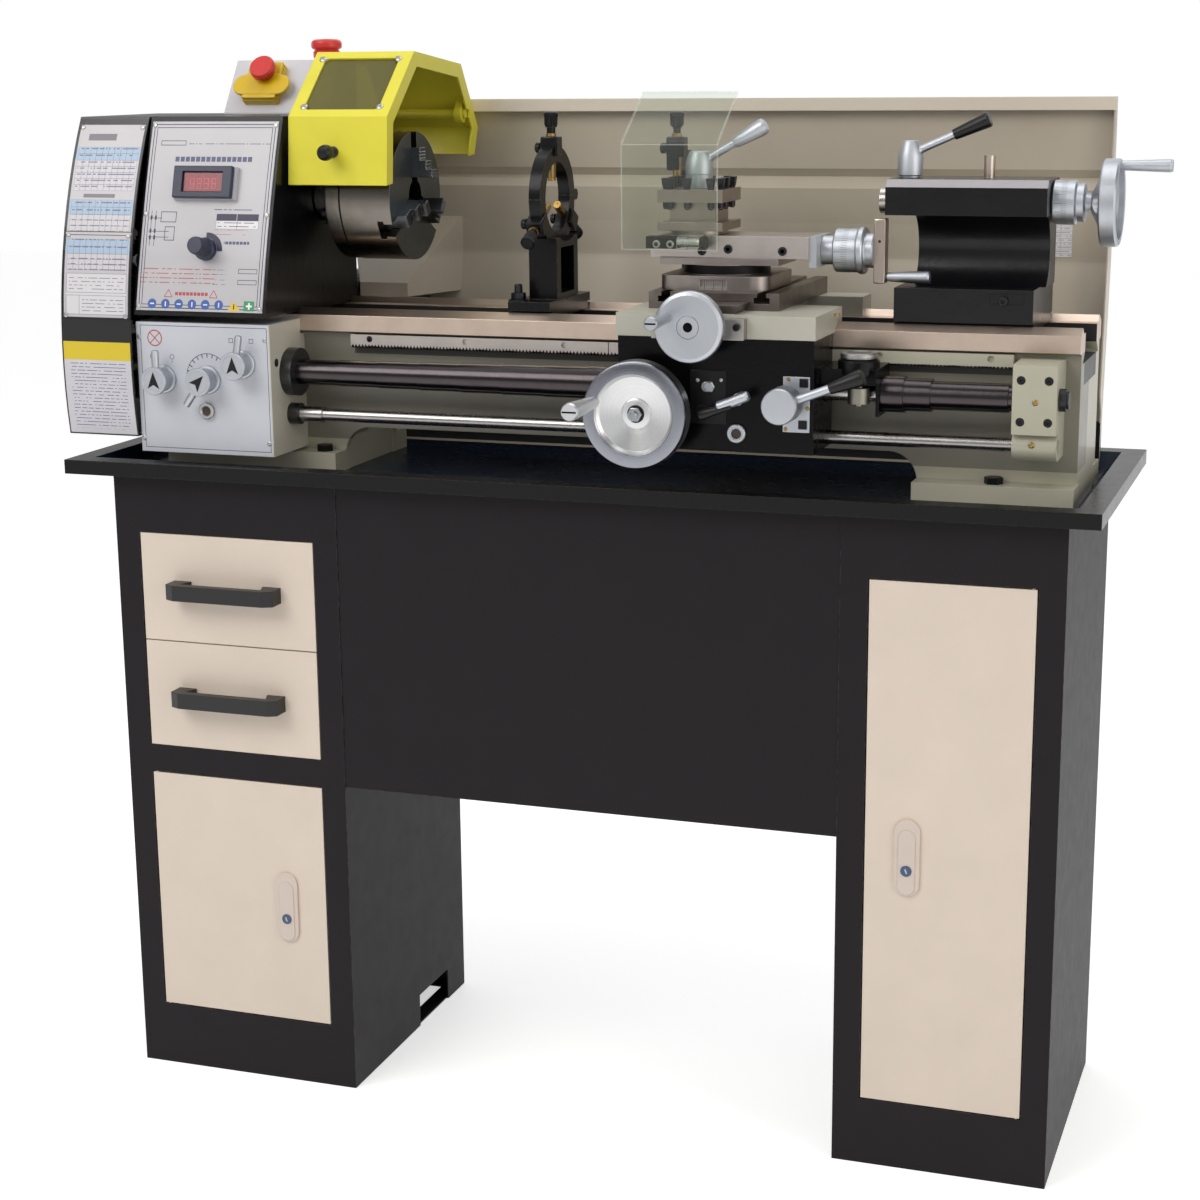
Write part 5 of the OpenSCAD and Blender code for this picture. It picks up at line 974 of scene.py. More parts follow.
def framed_plate(width, height, thick, rim, window, deep):
    """A box whose front face is inset to a window and sunk."""
    bm = rounded_box((-width / 2, width / 2), (-height / 2, height / 2), (0, thick), 1.4)
    face = max(bm.faces, key=lambda f: f.normal.z * f.calc_area())
    bmesh.ops.inset_region(bm, faces=[face], thickness=rim)
    corners = list(face.verts)
    low = [min(v.co[i] for v in corners) for i in (0, 1)]
    size = [max(v.co[i] for v in corners) - low[i] for i in (0, 1)]
    bmesh.ops.scale(bm, vec=(window[0] / size[0], window[1] / size[1], 1), verts=corners)
    bmesh.ops.inset_region(bm, faces=[face], thickness=0.4)
    bmesh.ops.translate(bm, vec=(0, 0, -deep), verts=list(face.verts))
    return bm

slope = math.radians(16)
lean = (0, -math.cos(slope), math.sin(slope))
display_at = (-478, -95.5, 1163)
Build().add(framed_plate(81, 40, 9, 5, (56, 26), 4), display_at, lean).made(
    "display_frame", "base", "black_plastic", NAVY)
window = Build().add(rounded_box((-27, 27), (-12, 12), (0, 5.6), 0.5), display_at, lean)
window.made("display_window", "base", "window_tint", RED_GLASS)

knob_aim = (0, -math.sin(math.radians(75)), math.cos(math.radians(75)))
knob = turned_shape([(14, -2), (14, 6.5), (13, 8), (11.9, 8.6), (11.9, 10), (11, 29.5), (10, 31),
                     (0, 31.2)], 48)
Build().add(ribbed(knob, 9, 29.8, 48, 0.7), (-470, -115, 1083), knob_aim).made(
    "speed_knob_ribbed", "speed_knob", "black_plastic", NAVY, ["speed_knob"])

# %% [markdown]
# ## Feed selectors
# Each selector has a collar, a drum and a wide face with a sunken disc that carries a black
# arrowhead. A chamfered pin stands out of the drum as its handle.

# %% Feed selectors
def arrowhead():
    return plate_shape([(0, 11.6), (8, -9), (0, -4.4), (-8, -9)], 0.5)

def selector(number, x, z, pin, arrow):
    body = f"selector_{number}"
    knob = turned_shape([(18, 0), (18, 3), (17, 4), (15.2, 4.4), (15.2, 21), (16, 22.5),
                         (17.4, 23), (17.6, 26.5), (16.9, 27.6), (13.8, 27.6), (13.4, 26.9)], 48)
    build = Build().add(knob, (x, -129, z), OPERATOR)
    along = Vector((math.cos(math.radians(pin)), 0, math.sin(math.radians(pin))))
    tail = turned_shape([(4.7, 8), (4.7, 35), (3.9, 37.4), (3, 38)], 24)
    build.add(tail, (x, -148, z), along)
    build.made(f"{body}_knob", body, "turned_steel", SATIN_METAL, [f"feed_{body}"])
    Build().add(arrowhead(), (x, -155.8, z), OPERATOR, arrow).made(
        f"{body}_arrow", body, "black_plastic", KNOB_BLACK)

for number, x, z, pin, arrow in ((1, -531, 922, 90, 0), (2, -469, 923, 235, -45),
                                 (3, -420, 944, 80, 0)):
    selector(number, x, z, pin, arrow)
sight = turned_shape([(6.2, 0), (10.2, 0), (10.2, 4.6), (9.4, 5.2), (6.8, 5.2), (6.2, 4.4),
                      (6.2, 0)], 40)
Build().add(sight, (-471, -129, 884), OPERATOR).made(
    "gearbox_sight", "base", "turned_steel", BRIGHT_SCREW)
SIGHT_GLASS = stuff("sight_glass", lambda s: plastic(s, "#3b2a1c", 0.15))
Build().add(turned_shape([(0, 0.6), (6.3, 0.2), (6.3, -1)], 32), (-471, -132, 884), OPERATOR).made(
    "gearbox_sight_glass", "base", "window_tint", SIGHT_GLASS)

# %% [markdown]
# ## Screws on the plates
# Domed screws hold the control panel, the gear cover's plates, the gearbox front and the
# window of the chuck guard.

# %% Screws on the plates
for name, node, body, radius, spots in (
        ("panel_screws", "control_panel", "base", 3.4,
         [(x, z) for x in (-559.5, -391.5) for z in (1012.5, 1125, 1232.5)]),
        ("cover_screws", "gear_cover", "base", 3.4,
         [(x, z) for x in (-661, -575.5) for z in (1000, 1098, 1230)]),
        ("gearbox_screws", "feed_gearbox", "base", 3.2,
         [(-563, 974.3), (-387.7, 974), (-563, 845.7), (-386.8, 845.7)]),
        ("window_screws", "chuck_guard", "guard", 5,
         [(-366, 1311), (-263, 1311), (-363, 1254), (-261, 1254)])):
    Build().on(node, spots, lambda: dome_screw(radius)).made(
        name, body, "turned_steel", BRIGHT_SCREW)

# %% [markdown]
# ## Back of the machine
# Screws hold the cabinets' back panels and the splash guard's flange, seated by rays cast
# from behind.

# %% Back of the machine
back_screws = Build()
for node, spots in (("left_cabinet", [(x, z) for x in (-580, -314) for z in (60, 400, 740)]),
                    ("right_cabinet", [(x, z) for x in (366, 580) for z in (60, 400, 740)]),
                    ("splash_guard", [(x, 1249) for x in (-340, -110, 120, 350, 570)])):
    back_screws.on(node, spots, lambda: dome_screw(4.5), start=400.0, toward=OPERATOR)
back_screws.made("back_screws", "base", "turned_steel", BRIGHT_SCREW)

# %% [markdown]
# ## Stop button, switch cover and guard knob
# The red mushrooms get a collar and a softly domed head. The switch cover has round side
# lobes, so its outline is a stadium lying on the tilted box.

# %% Buttons and guard knob
RED = stuff("button_red", lambda s: plastic(s, "#d93430", 0.3), bevel=0.6)
YELLOW = stuff("cover_yellow", lambda s: plastic(s, "#e6c01c", 0.34), bevel=0.8)
mushroom = [(8.5, 0), (8.5, 13.6), (16.6, 14), (17.5, 15.4), (17.5, 22), (15.8, 23.6),
            (15.8, 24.8), (19, 26.4), (19.9, 28.4), (19.9, 33), (18.4, 36), (14.5, 37.8), (0, 38.4)]
Build().add(turned_shape(mushroom, 48), (-413, 128, 1299)).made(
    "stop_mushroom", "emergency_button", "red_plastic", RED, ["emergency_button"])
tilt = Matrix.Translation((-478, 59, 1245)) @ Matrix.Rotation(math.radians(55.7), 4, "X")
lobes = plate_shape([(y, x) for x, y in slot_points(30, 80)], 5.5, 1.5)
cover = Build().put(rounded_box((-24, 24), (13, 67), (10.3, 15), 1.5), tilt)
cover.put(lobes, tilt @ Matrix.Translation((0, 33, 10.4)))
cover.made("switch_cover", "switch_flap", "yellow_plastic", YELLOW)
red_head = [(12, 14), (12, 21), (15.5, 22), (17, 24), (17, 29), (15, 31.6), (0, 32)]
Build().put(turned_shape(red_head, 40), tilt @ Matrix.Translation((3, 50, 0))).made(
    "switch_mushroom", "switch_flap", "red_plastic", RED, ["switch_flap"])
ball = [(7, -3), (7, 3), (4.2, 4.5), (4.2, 12), (6.5, 13), (9.4, 17.5), (10, 22), (9, 27),
        (6, 30.8), (0, 32)]
Build().add(turned_shape(ball, 40), (-318, -62, 1200), OPERATOR).made(
    "guard_knob", "guard", "black_plastic", KNOB_BLACK)

# %% [markdown]
# ## Chuck jaws
# A jaw is a stepped outline raised to its width and turned about the spindle. Small notches on
# the steps give it the serrated look of gripping faces.

# %% Chuck jaws
JAW = stuff("jaw_steel", lambda s: plain_metal(s, "#6c6f72", 0.28, stain=0.4), bevel=0.4)
face = -257  # the chuck's front face, in X

def notched(a, b, depth, count=2):
    """Points from a to b with V notches into the body on the left of the line."""
    line = Vector(b) - Vector(a)
    inward = Vector((line.y, -line.x)).normalized() * depth
    points = [Vector(a)]
    for i in range(count):
        middle = (i + 1) / (count + 1)
        for share, push in ((middle - 0.09, 0), (middle, 1), (middle + 0.09, 0)):
            points.append(Vector(a) + line * share + inward * push)
    return [tuple(p) for p in points]

profile = [(face - 20, 23)]
for out, low, high, notches in ((28, 23, 33, 2), (20, 33, 44, 2), (12, 44, 60, 3)):
    profile += notched((face + out, low), (face + out, high), -1.2, notches) + [(face + out, high)]
profile.append((face - 20, 60))
for number, angle in ((1, 90), (2, 210), (3, 330)):
    stand = Matrix.Translation(SPINDLE) @ Matrix.Rotation(math.radians(angle - 90), 4, "X")
    raised = stand @ Matrix.Rotation(math.radians(90), 4, "X") @ Matrix.Translation((0, 0, -9))
    build = Build().put(plate_shape(profile, 18, 0.5, 1), raised)
    build.put(rounded_box((face - 19.2, face - 12.6), (-12.3, 12.3), (31, 59.5), 0.5), stand)
    build.made(f"jaw_{number}_stepped", f"jaw_{number}", "dark_steel", JAW,
               [f"chuck_jaw_{number}"], smooth=20)

# %% [markdown]
# ## Steady rest
# Three fingers point at the spindle axis. Each has a black block, a bronze collar and tip, and a
# knurled screw. The blocks have a small clamping screw on their left side.

# %% Steady rest
CAST = stuff("finger_cast", lambda s: paint(s, "#0b0b0d", rough=0.3, coat=0.05, peel=5.0), bevel=0.8,
             shine=0.2)

def finger(x, angle, width=11.0):
    """Block, bronze and knob shapes of one finger, by the direction it slides along."""
    aim = Vector((0, math.cos(math.radians(angle)), math.sin(math.radians(angle))))
    centre = Vector((x, AXIS_Y, AXIS_Z))
    black = Build().add(rounded_box((-width, width), (-10.5, 10.5), (50, 74), 2), centre, aim)
    screw = [(4, -1), (4, 3), (6.4, 3.5), (6.6, 8), (5, 9.5)]
    black.add(turned_shape(screw, 20), centre + aim * 60 - Vector((width, 0, 0)), LEFT)
    handle = turned_shape([(4.6, 73), (4.6, 84), (6.2, 85.5), (8.2, 88), (8.2, 97), (8.8, 98),
                           (8.8, 102), (7, 103.4)], 48)
    black.add(ribbed(handle, 87, 101.5, 48, 0.8), centre, aim)
    bronze = Build().add(turned_shape([(6.4, 73), (6.4, 77.5), (5, 78)], 32), centre, aim)
    bronze.add(turned_shape([(0, 19.5), (3.8, 20.4), (5.3, 24), (5.3, 51)], 32), centre, aim)
    return black, bronze

for angle, body in ((90, "steady_top"), (210, "steady_rest"), (330, "steady_rest")):
    black, bronze = finger(-72.5, angle)
    black.made(f"steady_finger_{angle}", body, "machine_black", CAST)
    bronze.made(f"steady_bronze_{angle}", body, "turned_steel", BRASS)
nut = Build().add(plate_shape(ring_points(9.5, 6, 30), 9, 0.8), (-96, -14, 1020))
nut.add(turned_shape([(12.5, 0), (12.5, 2)], 28), (-96, -14, 1018.6))
nut.add(turned_shape([(5, 0), (5, 9), (4, 11)], 20), (-96, -14, 1028.5))
nut.made("steady_nut", "steady_rest", "dark_steel", BLACK_OXIDE)

# %% [markdown]
# ## Follow rest
# Behind the tool post a small rest rides on the saddle: a bent arm over the work with the same
# kind of finger at its end.

# %% Follow rest
arm = [(103, 1021.6), (142, 1021.6), (142, 1032), (130, 1040), (130, 1150), (120, 1180), (98, 1198),
       (60, 1200), (40, 1198), (40, 1176), (62, 1174), (86, 1170), (100, 1156), (104, 1136)]
upright = Matrix.Translation((78, 0, 0)) @ Matrix.Rotation(math.radians(90), 4, "Z") @ (
    Matrix.Rotation(math.radians(90), 4, "X"))
black, bronze = finger(90, 90)
black.put(plate_shape(arm, 16, 1.5), upright).made("follow_rest", "carriage", "machine_black", CAST)
bronze.made("follow_bronze", "carriage", "turned_steel", BRASS)

# %% [markdown]
# ## Tool post
# Twelve square-headed screws clamp the tools, four sides of three. The heads flare toward the
# top; under the upper plate the screws end in small domes.

# %% Tool post
def square_screw():
    """A square head that flares upward on a round neck."""
    bm = bmesh.new()
    bmesh.ops.create_cube(bm, size=1)
    bmesh.ops.scale(bm, vec=(7, 7, 11), verts=bm.verts)
    bmesh.ops.translate(bm, vec=(0, 0, 7.5), verts=bm.verts)
    upper = [v for v in bm.verts if v.co.z > 5]
    bmesh.ops.scale(bm, vec=(1.4, 1.4, 1), verts=upper)
    return bevelled(bm, 0.7)

TURRET_X, TURRET_TOP = 132, 1157
screws = Build()
for side in range(4):
    quarter = Matrix.Rotation(side * math.pi / 2, 4, "Z")
    turned_by = Matrix.Translation((TURRET_X, 0, TURRET_TOP)) @ quarter
    for offset in (-26, -5, 24):
        here = turned_by @ Matrix.Translation((offset, -34, 0))
        screws.put(square_screw(), here)
        screws.put(turned_shape([(3.6, -1), (3.6, 3)], 20), here)
        screws.put(turned_shape([(0, -24), (2.4, -23.6), (3.8, -21), (3.8, -14)], 20), here)
screws.made("tool_screws", "turret", "dark_steel", BLACK_OXIDE)

def lever(name, body, hub, ends, radius, grip, grip_material):
    """A hub with a cone, a bar rising from it and a grip; hub is (place, profile)."""
    satin = Build().add(turned_shape(hub[1], 48), hub[0])
    a, b, c = ends
    satin.bar(a, b, [(radius + 1.2, -0.1), (radius + 1.2, 0.12), (radius, 0.16), (radius, 1),
                     (0, 1.02)])
    if grip_material is SATIN_METAL:
        satin.bar(b, c, grip)
    else:
        Build().bar(b, c, grip).made(f"{name}_grip", body, "black_plastic", grip_material)
    satin.made(name, body, "turned_steel", SATIN_METAL, [body])

lever("turret_lever_cast", "turret_lever",
      ((TURRET_X, 0, TURRET_TOP + 0.3), [
          (16.4, 0), (16.4, 15.6), (15.9, 16), (16.4, 16.4), (16.4, 30), (12.2, 42), (11, 43)]),
      ((140, 0, 1190), (178, 0, 1211.5), (213, 0, 1230.5)), 4.8,
      [(0, -0.1), (6, -0.08), (7.2, 0.02), (7.6, 0.15), (10.2, 0.86), (9.6, 0.96), (7, 1.02),
       (0, 1.03)],
      SATIN_METAL)
lever("tail_lever_cast", "quill_lever",
      ((378, 40, 1169.4), [(12, 0), (12, 2), (15, 3), (15, 23.5), (9.8, 41), (8.8, 42.4)]),
      ((384, 40, 1199), (430, 40, 1219), (470, 40, 1236.6)), 4.6,
      [(6.2, -0.03), (6.6, 0.03), (9.2, 0.95), (8.2, 1.0)], KNOB_BLACK)

# %% [markdown]
# ## Shield hinge and top slide screws
# The shield hangs on a dark block with two bright socket screws, a turned rod and a black end
# knob. Black cap screws along the top slide adjust its gib.

# %% Shield hinge and top slide screws
def sunk_socket(radius, depth=1.4):
    return turned_shape([(radius, 0.1), (radius, -depth)], 6)

BLOCK = stuff("hinge_block", lambda s: plain_metal(s, "#2d2825", 0.42, stain=0.5), bevel=0.8)
ROD_Y, ROD_Z = -52, 1096.5
block = Build().add(rounded_box((83, 121.2), (1089.3, 1103.7), (39, 58.2), 1.2), toward=OPERATOR)
knob = turned_shape([(5, 0), (7.4, 1.4), (8.6, 4), (8.6, 6), (7, 8.6), (4, 10)], 32)
block.add(knob, (149, ROD_Y, ROD_Z), RIGHT).made("hinge_block", "top_slide", "dark_steel", BLOCK)
bright, sockets = Build(), Build()
for x, z in ((96.5, 1094.5), (113.5, 1094.5)):
    bright.add(turned_shape([(4.7, 0), (4.7, 0.8), (4, 1.5)], 28), (x, -58, z), OPERATOR)
    sockets.add(sunk_socket(2.5), (x, -59.6, z), OPERATOR)
rod = [(5.4, 0)] + [(5.4 if i % 2 else 5.0, i * 1.35) for i in range(1, 20)] + [(5.4, 27.5)]
bright.add(turned_shape(rod, 28), (121.4, ROD_Y, ROD_Z), RIGHT)
bright.made("hinge_screws", "top_slide", "turned_steel", BRIGHT_SCREW)
black = Build()
for x, z in ((147, 1086), (179, 1088.5), (245, 1087)):
    black.add(cap_screw(5.2, 1.6), (x, -39, z), OPERATOR)
black.made("gib_screws", "top_slide", "dark_steel", BLACK_OXIDE)
Build().add(cap_screw(4.2, 4), (222, -153, 1010), OPERATOR).made(
    "saddle_screw", "carriage", "dark_steel", BLACK_OXIDE)
sockets.made("screw_sockets", "top_slide", "dark_steel", HOLE_SHADE)

# %% [markdown]
# ## Dials and cranks
# A dial is a turned collar whose finish carries the graduation: the angle about the axis is
# wrapped to the pitch of the lines. Tapered handles have a slotted disc at their end.

# %% Dials and cranks
def dial_finish(s, axis, centre, count, band, code=SATIN):
    """Satin metal with graduation lines round a band along the axis."""
    look = turned(s, axis, centre, code, rough=0.42)
    around = [v for v in "xyz" if v != axis]
    a, b = (getattr(s, v) - centre["xyz".index(v)] for v in around)
    angle = b.math("ARCTAN2", a)
    fine = angle.wrap(math.tau / count) * 25 < 0.17
    long_line = angle.wrap(math.tau / count * 5) * 25 < 0.24
    along = getattr(s, axis)
    middle = (band[0] + band[1]) / 2
    half = abs(along - middle) < (band[1] - band[0]) / 2
    short = (along > min(middle, band[1])) * (along < band[1])
    marks = (fine * short).most(long_line * half)
    return s.over(look, Look(srgb("#44474f"), 0.5), marks)

def dial_stuff(name, axis, centre, count, band):
    return stuff(name, lambda s: dial_finish(s, axis, centre, count, band), bevel=0.5)

def handle(build, base, tip, r0, r1, slots=None):
    """A tapered handle with a rounded end."""
    build.bar(base, tip, [(r0 * 0.8, 0), (r0 * 0.8, 0.03), (r0, 0.06), (r1, 0.9), (r1, 0.97),
                          (r1 * 0.86, 1.0)], 32)
    if slots:
        slots.add(rounded_box((-r1 * 0.8, r1 * 0.8), (-1, 1), (-0.5, 0.15), 0.1), tip,
                  Vector(tip) - Vector(base))

CROSS_X, CROSS_Z = 175, 1012.5
wheel = Build().add(turned_shape([
    (31, 0), (31, 24), (32, 25), (39.6, 25), (40.6, 26), (40.6, 33.4), (39.6, 35), (36, 37),
    (13.5, 37), (13.1, 36.1), (12.7, 36.1), (12.3, 37)], 72), (CROSS_X, -153.3, CROSS_Z), OPERATOR)
slots = Build().add(turned_shape([(5.6, 0.12), (5.6, 0)], 24), (CROSS_X, -190.3, CROSS_Z), OPERATOR)
handle(wheel, (151, -189, 1022.5), (151, -253.3, 1022.5), 5.6, 8, slots)
wheel.made("cross_wheel", "cross_handwheel", "cast_wheel",
           dial_stuff("cross_dial", "y", (CROSS_X, 0, CROSS_Z), 100, (-177, -160)), ["cross_handwheel"])
slots.made("cross_wheel_slot", "cross_handwheel", "dark_steel", HOLE_SHADE)

WHEEL_X, WHEEL_Z = 111, 911

def apron_wheel_look(s):
    look = turned(s, "y", (WHEEL_X, 0, WHEEL_Z), "#d3d4d4", rough=0.32)
    rim = turned(s, "y", (WHEEL_X, 0, WHEEL_Z), "#8f9199", rough=0.25)
    away = s.away(x=WHEEL_X, z=WHEEL_Z)
    look = s.over(look, rim, (away > 46.8) * (away < 62.3) * (s.y < -188))
    return s.over(look, plain_metal(s, "#cfd0d2", 0.4), s.y < -196)

APRON_WHEEL = stuff("apron_wheel", apron_wheel_look, bevel=0.5)
wheel = Build().add(turned_shape([
    (13, 0), (13, 38), (40, 36), (48, 33), (60, 33), (62, 35), (62, 54.5), (61, 56.6), (58, 57.6),
    (47.6, 57.6), (46.6, 56.6), (46.2, 54), (43, 50.5), (18, 44.8), (17, 46.2), (15.5, 46.8)], 80),
    (WHEEL_X, -137, WHEEL_Z), OPERATOR)
slots = Build()
handle(wheel, (64, -190, 924.5), (64, -279.7, 924.5), 6.8, 10.6, slots)
wheel.made("apron_wheel", "apron_handwheel", "cast_wheel", APRON_WHEEL, ["apron_handwheel"])
slots.made("apron_wheel_slot", "apron_handwheel", "dark_steel", HOLE_SHADE)
washer = turned_shape([(10.4, 0), (10.4, 1), (9.6, 1.4)], 32)
Build().add(washer, (WHEEL_X, -183, WHEEL_Z), OPERATOR).made(
    "apron_wheel_washer", "apron_handwheel", "dark_steel", BLACK_OXIDE)
nut = Build().add(plate_shape(ring_points(8.8, 6), 6.6, 0.8), (WHEEL_X, -184, WHEEL_Z), OPERATOR)
nut.add(turned_shape([(4.2, 0), (4.2, 3.2), (3.2, 4)], 20), (WHEEL_X, -190, WHEEL_Z), OPERATOR)
nut.made("apron_wheel_nut", "apron_handwheel", "turned_steel", CHROME)

CRANK_Z = 1086.5
crank = Build().add(turned_shape([
    (17, 0), (17, 14), (24, 15), (25.6, 16.6), (25.6, 41.5), (25, 42.2), (26.8, 43), (27.6, 44.5),
    (27.6, 49), (26.4, 50.5), (20.6, 51.2), (20, 52.6), (20, 60.6), (18.4, 62), (8.4, 62),
    (8.4, 65), (7.2, 66.2)], 64), (285.3, 0, CRANK_Z), RIGHT)
arm = Build().add(rounded_box((-9, 9), (-37.5, 37.5), (0, 14), 1.6), (346.5, 0, CRANK_Z), RIGHT, 90)
arm.made("compound_crank_arm", "compound_crank", "cast_wheel", stuff(
    "crank_steel", lambda s: s.over(ground(s, "#b7a99f", "z", 0.32), Look(srgb("#121212"), 0.6),
                                    (s.away(x=353.5, z=1098) < 1.8) * (s.y < 0)), bevel=0.5))
handle(crank, (359, 0, 1056.5), (412, 0, 1056.5), 5.4, 7.8)
crank.made("compound_crank_cast", "compound_crank", "cast_wheel",
           dial_stuff("crank_dial", "x", (0, 0, CRANK_Z), 60, (303, 318)), ["compound_crank"])

tail = Build()
slots = Build()
handle(tail, (620, 46, 1184), (677.6, 46, 1184), 5.6, 7.4, slots)
tail.made("tail_wheel_handle", "tailstock_handwheel", "cast_wheel", SATIN_METAL)
slots.made("tail_wheel_slot", "tailstock_handwheel", "dark_steel", HOLE_SHADE)
finish(["tailstock_handwheel"], "tail_wheel", lambda s: dial_finish(
    s, "x", SPINDLE, 80, (549, 563)), bevel=1.0)

# %% [markdown]
# ## Apron controls
# A T-shaped feed lever, the half-nut lever with its disc and index plate, an oil sight, a
# filler plug and a small black plate sit on the apron's front.

# %% Apron controls
APRON_Y = -136
tee = Build().bar((200, -158, 918.2), (238, -158, 933.8),
                  [(4.4, 0), (6.3, 0.06), (6.3, 0.94), (4.4, 1)])
tee.add(turned_shape([(9, 0), (9, 6), (7, 8), (7, 30)], 32), (224, -125, 928), OPERATOR)
tee.made("feed_tee", "feed_lever", "turned_steel", SATIN_METAL, ["feed_lever"])
Build().bar((218, -160, 921), (179, -160, 908.5), [
    (4, 0), (4.2, 0.3), (6.4, 0.8), (5.6, 0.97), (0, 1)]).made(
    "feed_tee_grip", "feed_lever", "black_plastic", KNOB_BLACK)
half = Build().add(turned_shape([(14, 0), (14, 10), (19.5, 12), (20.8, 14), (20.8, 43), (19.4, 45.3),
                                 (12, 45.6)], 48), (279, -138, 925), OPERATOR)
half.bar((292, -166, 930), (337, -166, 947), [(5.2, 0), (5.2, 1)])
half.made("half_nut_disc", "half_nut_lever", "turned_steel", SATIN_METAL, ["half_nut_lever"])
Build().bar((334, -166, 945.9), (372, -166, 960.3), [
    (6.4, 0), (6.8, 0.05), (9.6, 0.92), (8.6, 1)]).made(
    "half_nut_grip", "half_nut_lever", "black_plastic", KNOB_BLACK)
plate = Build().add(rounded_box((272.5, 304), (890, 954), (0, 1.4), 0.6), (0, APRON_Y, 0), OPERATOR)
plate.add(turned_shape([(7, 0), (11, 0), (11, 3.4), (10, 4.4), (7.6, 4.4), (7, 3.6), (7, 0)], 40),
          (218, -136.6, 886), OPERATOR)
plate.add(turned_shape([(7, 0), (7, 1.8), (5.6, 3)], 6), (185, -136.8, 939), OPERATOR)
plate.made("apron_plate", "carriage", "turned_steel", SATIN_METAL)
dark = Build().add(rounded_box((162, 205), (896, 958), (0, 0.8), 0.4), (0, APRON_Y, 0), OPERATOR)
for x, z in ((297, 947), (296, 899)):
    dark.add(rounded_box((-5, 5), (-5, 5), (0, 2), 0.5), (x, -137, z), OPERATOR)
dark.add(turned_shape([(8, 0), (8, 1.6), (7, 2.6)], 32), (177, -136.6, 910), OPERATOR)
dark.made("apron_dark_plate", "carriage", "black_plastic", stuff(
    "apron_label", lambda s: paint(s, "#0d0d10", 0.4), bevel=0.3, shine=0.2))
Build().add(turned_shape([(7.2, 0.4), (7.2, 0)], 32), (218, -136.9, 886), OPERATOR).made(
    "apron_sight", "carriage", "window_tint", SIGHT_GLASS)
copper = Build()
for x, z in ((279, 951), (301.5, 918), (276, 893.5)):
    copper.add(dome_screw(2.6), (x, -137.3, z), OPERATOR)
copper.made("index_screws", "carriage", "turned_steel", BRASS)
bright = Build()
for x, z in ((171, 946), (199, 947)):
    bright.add(dome_screw(2.4), (x, -136.8, z), OPERATOR)
bright.made("label_screws", "carriage", "turned_steel", BRIGHT_SCREW)
DIAL_X, DIAL_Y = 352, -100
dial = turned_shape([(15, 0), (15, 26), (17, 29), (20.6, 30), (21.2, 31), (21.2, 34.4), (20, 35.4),
                     (14, 35.6), (13.4, 34.8)], 56)

def thread_dial_look(s):
    look = dial_finish(s, "z", (DIAL_X, DIAL_Y, 0), 36, (974, 978), "#a9abad")
    away = s.away(x=DIAL_X, y=DIAL_Y)
    look = s.over(look, plain_metal(s, "#3b3b3f", 0.4), (away < 13.6) * (away > 5))
    return s.over(look, plastic(s, "#18181b", 0.36), s.z < 972)

Build().add(turned_shape([
    (12, 0), (16, 0), (22.6, 6), (24, 10), (24, 22), (22.6, 24), (12, 24), (12, 0)], 48),
    (DIAL_X, DIAL_Y, 948)).made("thread_dial_housing", "carriage", "machine_black", CAST)
Build().add(dial, (DIAL_X, DIAL_Y, 944)).made("thread_dial_top", "thread_dial", "dark_steel", stuff(
    "thread_dial_face", thread_dial_look, bevel=0.4))

# %% [markdown]
# ## Leadscrew covers
# Telescopic steel covers shield the leadscrew. They slide into each other as the carriage
# moves; each is built as one turned tube of stepped radii and stays where it is drawn.

# %% Leadscrew covers
COVER = stuff("screw_cover", lambda s: turned(
    s, "x", LEADSCREW, "#4a4547", rough=0.22, stain=0.6), bevel=0.4)

def telescope(name, node, edges, radii):
    low, high = edges[0], edges[-1]
    profile = [(0, 0)]
    for start, end, radius in zip(edges, edges[1:], radii):
        profile += [(radius, start - low), (radius, end - low)]
    tube = Build().add(turned_shape(profile + [(0, high - low)], 48), (low, *LEADSCREW[1:]), RIGHT)
    ends = ((low * MM, -0.077, 0.93), (high * MM, -0.077, 0.93))
    order = ("base", "carriage") if low < 0 else ("carriage", "base")
    tube.made(name, (*order, *ends), "screw_cover", COVER, [node], smooth=28)

telescope("left_telescope", "leadscrew_cover_left", [-365.7 + 54.675 * i for i in range(9)],
          [15.5 + 0.64 * i for i in range(8)])
telescope("right_telescope", "leadscrew_cover_right", [376.3, 402, 433, 521, 526.7],
          [21, 19, 16.5, 14.6])

# %% [markdown]
# ## Bed and bracket hardware
# Socket screws hold the bracket and the rack, small brass nipples oil the shafts, a dark nut
# ends the leadscrew, and a ruled white plate is fixed on the splash guard.

# %% Bed and bracket hardware
black = Build()
for x in (536.5, 567.5):
    for z in (906.5, 953.5):
        black.add(cap_screw(4.7, 5), (x, -91.2, z), OPERATOR)
for x, radius in ((-285, 5.2), (-139, 5.2), (7, 5.2), (-263, 3), (-15, 3)):
    black.add(cap_screw(radius, 2), (x, -42.2, 968.5), OPERATOR)
black.add(plate_shape(ring_points(9.2, 6), 7.4, 0.7), (577.4, *LEADSCREW[1:]), RIGHT)
black.made("frame_screws", "base", "dark_steel", BLACK_OXIDE)
Build().add(cap_screw(5.4, 4), (503, -30, 1034), OPERATOR).made(
    "tail_clamp_screw", "tailstock", "dark_steel", BLACK_OXIDE)
brass = Build()
for x, y, z in ((553, -99, 929), (549.5, -94, 880)):
    brass.add(dome_screw(3.6), (x, y, z), OPERATOR)
brass.made("oil_nipples", "base", "turned_steel", BRASS)
Build().add(cap_screw(3, 3), (334, -137, 1024), UP).made(
    "wiper_screw", "carriage", "turned_steel", BRASS)

def ruled_look(s):
    look = paint(s, "#e9e8e6", 0.4, cloud=0.02)
    return ink(s, look, "#a3aab8", grid(s, (512, 541), (1062, 1104), 2, 9, 0.45),
               dashes(s, (513, 540), (1064, 1102), 2.4, 4.66))

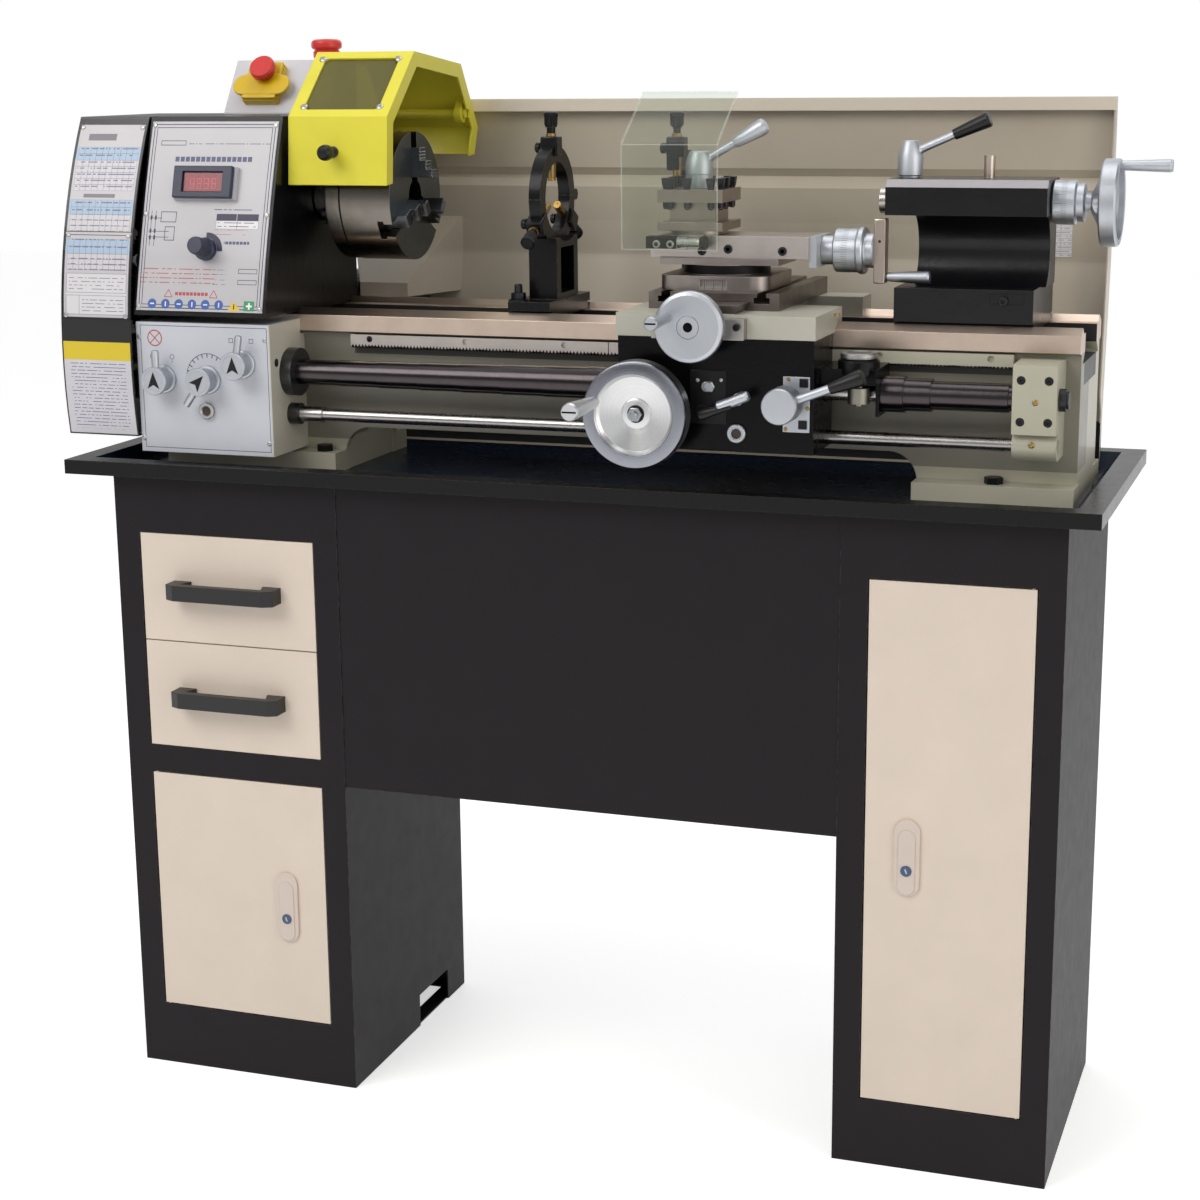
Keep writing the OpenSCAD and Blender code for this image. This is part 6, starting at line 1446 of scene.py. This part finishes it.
place, normal = surface("splash_guard", 526, 1083)
Build().add(rounded_box((-14.5, 14.5), (-21, 21), (-0.2, 0.8), 0.3), place, OPERATOR).made(
    "ruled_plate", "base", "panel_grey", stuff("ruled_plate", ruled_look, bevel=0.2))

# %% [markdown]
# ## Door latches
# A raised stadium with a folding lever let into it and a blue lock core with a key slot.

# %% Door latches
LATCH = stuff("latch_body", lambda s: paint(s, "#ddcdc2", rough=0.34, coat=0.3, cloud=0.03), bevel=0.8)
BLUE = stuff("lock_blue", lambda s: plastic(s, "#3f5a7d", 0.34), bevel=0.4)

for side, x, z in (("left", -380, 209.5), ("right", 429, 363.5)):
    body = f"{side}_latch"
    case = Build().add(plate_shape(slot_points(31, 95), 3.2, 1.4), (x, -145.2, z + 32), OPERATOR)
    case.add(plate_shape(slot_points(20.5, 80), 2.2, 0.9), (x, -147.6, z + 27), OPERATOR)
    case.made(f"{side}_latch_case", body, "latch_metal", LATCH, [body])
    lock = turned_shape([(6.6, 0), (6.6, 1.2), (5.4, 1.8)], 32)
    Build().add(lock, (x, -149.6, z + 17), OPERATOR).made(
        f"{side}_lock", body, "black_plastic", BLUE)
    key_slot = rounded_box((-0.9, 0.9), (-3, 3), (0, 0.3), 0.1)
    Build().add(key_slot, (x, -151.3, z + 17), OPERATOR, 20).made(
        f"{side}_key_slot", body, "turned_steel", BRIGHT_SCREW)

# %% [markdown]
# ## Floor
# A wide pale sheet catches the shadow under the feet.

# %% Floor
def pale_floor():
    mesh = bpy.data.meshes.new("floor")
    bm = bmesh.new()
    bmesh.ops.create_grid(bm, x_segments=1, y_segments=1, size=12)
    bm.to_mesh(mesh)
    bm.free()
    floor = bpy.data.objects.new("floor", mesh)
    bpy.context.collection.objects.link(floor)
    s = Sheet("floor_paint")
    path = s.node("LightPath", out="Is Camera Ray")
    for kind in ("Is Glossy Ray", "Is Transmission Ray"):
        path = path.most(s.node("LightPath", out=kind))
    lift = s.tint((0.0, 0.0, 0.0), (0.56, 0.56, 0.56), path)
    mesh.materials.append(s.done(Look(srgb("#f4f4f4"), 0.6), bevel=0, **{
        "Emission Color": lift, "Emission Strength": 1.0}))

pale_floor()
